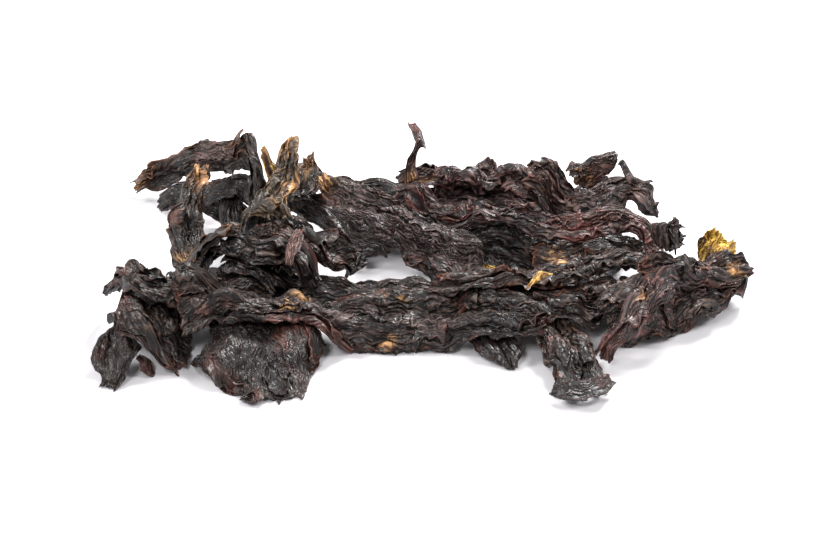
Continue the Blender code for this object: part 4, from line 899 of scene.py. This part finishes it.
def blade_finish(name, look):
    """Satin, finely wrinkled dried blade, with painted highlight on its creases and painted shade in its
    folds, and reddish where its margins are thin.
    """
    finish = Finish(name)
    place = finish.node("ShaderNodeTexCoord", {}, {})
    surface = place.outputs["UV"]
    clouds = finish.mottle(place.outputs["Object"], CLOUD_SIZE)
    patchy = finish.mottle(place.outputs["Object"], MARGIN_PATCH_SIZE, detail=1.0)
    specks = finish.mottle(surface, SPECK_SIZE, detail=4.0, roughness=0.65)
    fibres = finish.mottle(finish.stretched(surface, (0.35, 1, 1)), FIBRE_WIDTH)
    rough = 1 - finish.mark("smooth") * 0.9
    glazed = finish.held(finish.mark("smooth"), 0.75, 1.0)
    wrinkled = rough * finish.held(finish.mottle(surface, EDDY_SIZE, detail=1.0), 0.34, 0.58)
    wrinkles = finish.folds(finish.swirled(surface, EDDY_SIZE, EDDY_REACH), WRINKLE_WIDTH, 4.0)
    veins = finish.creases(finish.stretched(surface, (0.55, 1, 1)), VEIN_WIDTH)
    relief = wrinkles * (wrinkled * 0.85 + 0.15) + veins * rough * 0.8 + fibres * rough * 0.2
    # Painted shade and highlight: the raised crests and the crests of the wrinkles and veins are painted
    # lighter and the hollows between them darker, over fibres, specks and clouds that vary at random.
    painted_shade_and_tone = (finish.mark("crest") * 0.6 + (wrinkles - 0.5) * (wrinkled + 0.5) + (veins - 0.35) * rough * 0.9
            + (fibres - 0.5) * rough * 0.6 + (specks - 0.5) * (rough * 0.4 + 0.1) + (clouds - 0.5) * 0.8)
    colour = finish.blend(finish.held(painted_shade_and_tone, -0.45, 0.1), look.fold, look.face)
    colour = finish.blend(finish.held(painted_shade_and_tone, 0.1, 0.75), colour, look.crest)
    margin = finish.mark("margin") * finish.held(patchy + (specks - 0.5) * 0.5, 0.48, 0.72)
    colour = finish.blend(margin * 0.8, colour, look.margin)
    # Each patch's tint also goes from painted shade in the folds to painted highlight on the crests.
    for mark, (deep, pale) in TINTS.items():
        tint = finish.blend(finish.held(painted_shade_and_tone + (specks - 0.5), -0.4, 0.7), deep, pale)
        colour = finish.blend(finish.mark(mark), colour, tint)
    bump = finish.node("ShaderNodeBump", {}, {"Strength": 1.0, "Distance": RELIEF_DEPTH, "Height": relief})
    finish.set_sockets(finish.shader, {
        "Specular IOR Level": SHINE,
        "Base Color": colour,
        "Roughness": (clouds - 0.5) * 0.3 + (fibres - 0.5) * 0.15 + look.roughness - glazed * 0.12,
        "Normal": bump.outputs[0],
    })
    return finish.material


def floor_finish():
    """The matt floor, nearly white."""
    finish = Finish("pale_floor")
    finish.set_sockets(finish.shader, {"Base Color": FLOOR_COLOUR, "Roughness": 0.7})
    return finish.material


def placed(name, data):
    """A new object in the scene, at the origin."""
    made = bpy.data.objects.new(name, data)
    bpy.context.scene.collection.objects.link(made)
    return made


def blade_piece(frond, points, travelled, crossways, crest, finish):
    """A fine blade that rides on the frame."""
    marks = {mark: patch_strength(frond, mark, travelled, crossways) for mark in TINTS}
    # The crest mark paints highlight on raised parts and shade in hollows.
    marks["crest"] = crest
    marks["smooth"] = smoothness(frond, travelled, crossways)
    marks["margin"] = margin_nearness(points)
    name = "laver_" + frond.name
    mesh = blade_mesh(name, points, travelled * shortening(frond), crossways, marks)
    mesh.materials.append(finish)
    piece = placed(name, mesh)
    shell = piece.modifiers.new("thin blade", "SOLIDIFY")
    shell.thickness = THIN_BLADE
    shell.offset = 0.0
    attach(piece, "root")
    return piece


def fine_cells(frond):
    """How many cells the fine blade has along and across."""
    cell = HIDDEN_CELL if frond.name in HIDDEN else BROAD_CELL if frond.name in BROAD else FINE_CELL
    true_width = LET_OUT * MM * max(station[3] for station in frond.stations)
    return math.ceil(middle_line(frond)[0] / cell[0]), math.ceil(true_width / cell[1])


def layer_blade(frond, number, layer, under, under_travelled, under_crossways):
    """A narrower membrane that dried onto the frond, with creases and lifted, torn margins of its own."""
    own = frond._replace(name=frond.name + "_layer" + str(number), crumple=LAYER_CRUMPLE * frond.crumple,
                         tear=LAYER_TEAR * frond.tear)
    whole = np.array(under.shape[:2]) - 1
    rows = math.ceil((layer.end - layer.start) * whole[0])
    columns = math.ceil(layer.width * whole[1])
    t = np.linspace(0.0, 1.0, rows + 1)[:, None]
    s = np.linspace(-1.0, 1.0, columns + 1)
    share = layer.start + (layer.end - layer.start) * t
    travelled = share * under_travelled.max()
    half = np.abs(under_crossways[:, [0, -1]]).mean()
    edge = np.sign(s) * 13.0 * seeded(own, 4) + 2.0
    width = layer.width * (0.3 + 0.7 * np.sin(math.pi * np.clip(t, 0.04, 0.96))**0.6)
    width = width * (1 + 0.4 * rumple(travelled / (5 * MM), edge, 3.0))
    reach = s * (1 - np.clip(frayed(own, travelled, s, edge) * MM / (half * width), 0, 0.7))
    wander = layer.aside + 0.3 * rumple(travelled / (12 * MM), 4.0 * seeded(own, 3), 1.0)
    aside = np.clip(wander + width * reach, -0.98, 0.98)
    along_it = np.clip(share * whole[0] + 0 * s, 0, whole[0])
    across_it = (aside + 1) / 2 * whole[1]
    base = read_grid(under, along_it, across_it)
    facing = read_grid(face_normals(under), along_it, across_it)
    under_places = np.stack((under_travelled, under_crossways), axis=-1)
    travelled, crossways = np.moveaxis(read_grid(under_places, along_it, across_it), -1, 0)
    height, crest = crumple_height(own, travelled, crossways)
    loose = np.clip(0.6 + 1.4 * rumple(travelled / (6 * MM), edge, 7.0), 0, 2)
    peel = 1.2 * MM * loose * np.abs(s)**3 + 1.0 * MM * np.abs(2 * t - 1)**6
    rise = LAYER_LIFT + peel + np.maximum(0.55 * height, -0.2 * MM)
    return own, base + rise[..., None] * facing, travelled, crossways, crest


def fine_blade(frond, lift, heap):
    """The frond's fine blade, lifted as its plain solid is and laid on the fine blades beneath it."""
    rows, columns = fine_cells(frond)
    points, travelled, crossways = blade_points(frond, rows, columns, fine=True)
    points[..., 2] += resampled(lift, rows, columns, True)
    height, crest = crumple_height(frond, travelled, crossways)
    points += height[..., None] * face_normals(points)
    lay(points, heap, THIN_BLADE, THIN_GAP, 1)
    return points, travelled, crossways, crest


def frame_shift(drafts):
    """How far the frame's solids stand from the stations: the drafts' boxes set against the solids' own."""
    gaps = []
    for frond, laid in drafts:
        low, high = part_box(frond.name)
        solid_middle = (np.array(low) + np.array(high)) / 2
        gaps.append(solid_middle - (laid.min(axis=(0, 1)) + laid.max(axis=(0, 1))) / 2)
    return np.median(gaps, axis=0) * (1, 1, 0)


def lay_heap(finishes):
    """Makes every frond's blade and layers in the order in which they lie, and gives the frame's shift."""
    solid_heap = np.full(np.round(2 * HALF_SPAN / CELL).astype(int), EMPTY)
    drafts = []
    lifts = []
    for frond in FRONDS:
        plain, *_ = blade_points(frond, *frond.cells)
        laid = plain.copy()
        lay(laid, solid_heap, BLADE_THICKNESS, RESTING_GAP, SAMPLES_PER_EDGE)
        drafts.append((frond, laid))
        lifts.append((laid - plain)[..., 2])
    shift = frame_shift(drafts)
    thin_heap = np.full_like(solid_heap, EMPTY)
    for frond, lift in zip(FRONDS, lifts):
        points, travelled, crossways, crest = fine_blade(frond, lift, thin_heap)
        piece = blade_piece(frond, points + shift, travelled, crossways, crest, finishes[frond.colour])
        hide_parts(frond.name)
        for number, layer in enumerate(LAYERS.get(frond.name, ()), 1):
            own, layer_points, *rest = layer_blade(frond, number, layer, points, travelled, crossways)
            layer_points[..., 2] = np.maximum(layer_points[..., 2], THIN_BLADE / 2)
            add_to_heap(thin_heap, layer_points)
            blade_piece(own, layer_points + shift, *rest, finishes[own.colour])
    return Vector(shift)


def lay_floor():
    """The pale floor under the heap, which isn't a part of it."""
    sheet = bmesh.new()
    bmesh.ops.create_grid(sheet, x_segments=1, y_segments=1, size=FLOOR_HALF_SIZE)
    mesh = bpy.data.meshes.new("floor")
    sheet.to_mesh(mesh)
    sheet.free()
    mesh.materials.append(floor_finish())
    stage = placed("floor", mesh)


def turn_to(thing, place, aim):
    """Stands a light or the camera at the place, looking at the aim."""
    thing.location = place
    thing.rotation_euler = (aim - thing.location).to_track_quat("-Z", "Y").to_euler()


def light_and_look(aim):
    """Soft studio light from every side, and the camera at the photograph's angle."""
    world = bpy.data.worlds.new("studio")
    world.use_nodes = True
    world.node_tree.nodes["Background"].inputs["Strength"].default_value = DAYLIGHT
    world.node_tree.nodes["Background"].inputs["Color"].default_value = (1, 1, 1, 1)
    bpy.context.scene.world = world
    bpy.context.scene.view_settings.view_transform = "Standard"
    for name, place, size, power in SOFT_LIGHTS:
        lamp = bpy.data.lights.new(name, "AREA")
        lamp.size = size
        lamp.energy = power
        turn_to(placed(name, lamp), aim + Vector(place), aim)
    lens = bpy.data.cameras.new("camera")
    lens.lens = CAMERA_LENS
    camera = placed("camera", lens)
    backwards = Vector((0, -math.cos(CAMERA_HEIGHT), math.sin(CAMERA_HEIGHT)))
    turn_to(camera, aim + CAMERA_DISTANCE * backwards, aim)
    bpy.context.scene.camera = camera


finishes = {name: blade_finish(name, look) for name, look in BLADES.items()}
shift = lay_heap(finishes)
lay_floor()
light_and_look(AIM + shift)
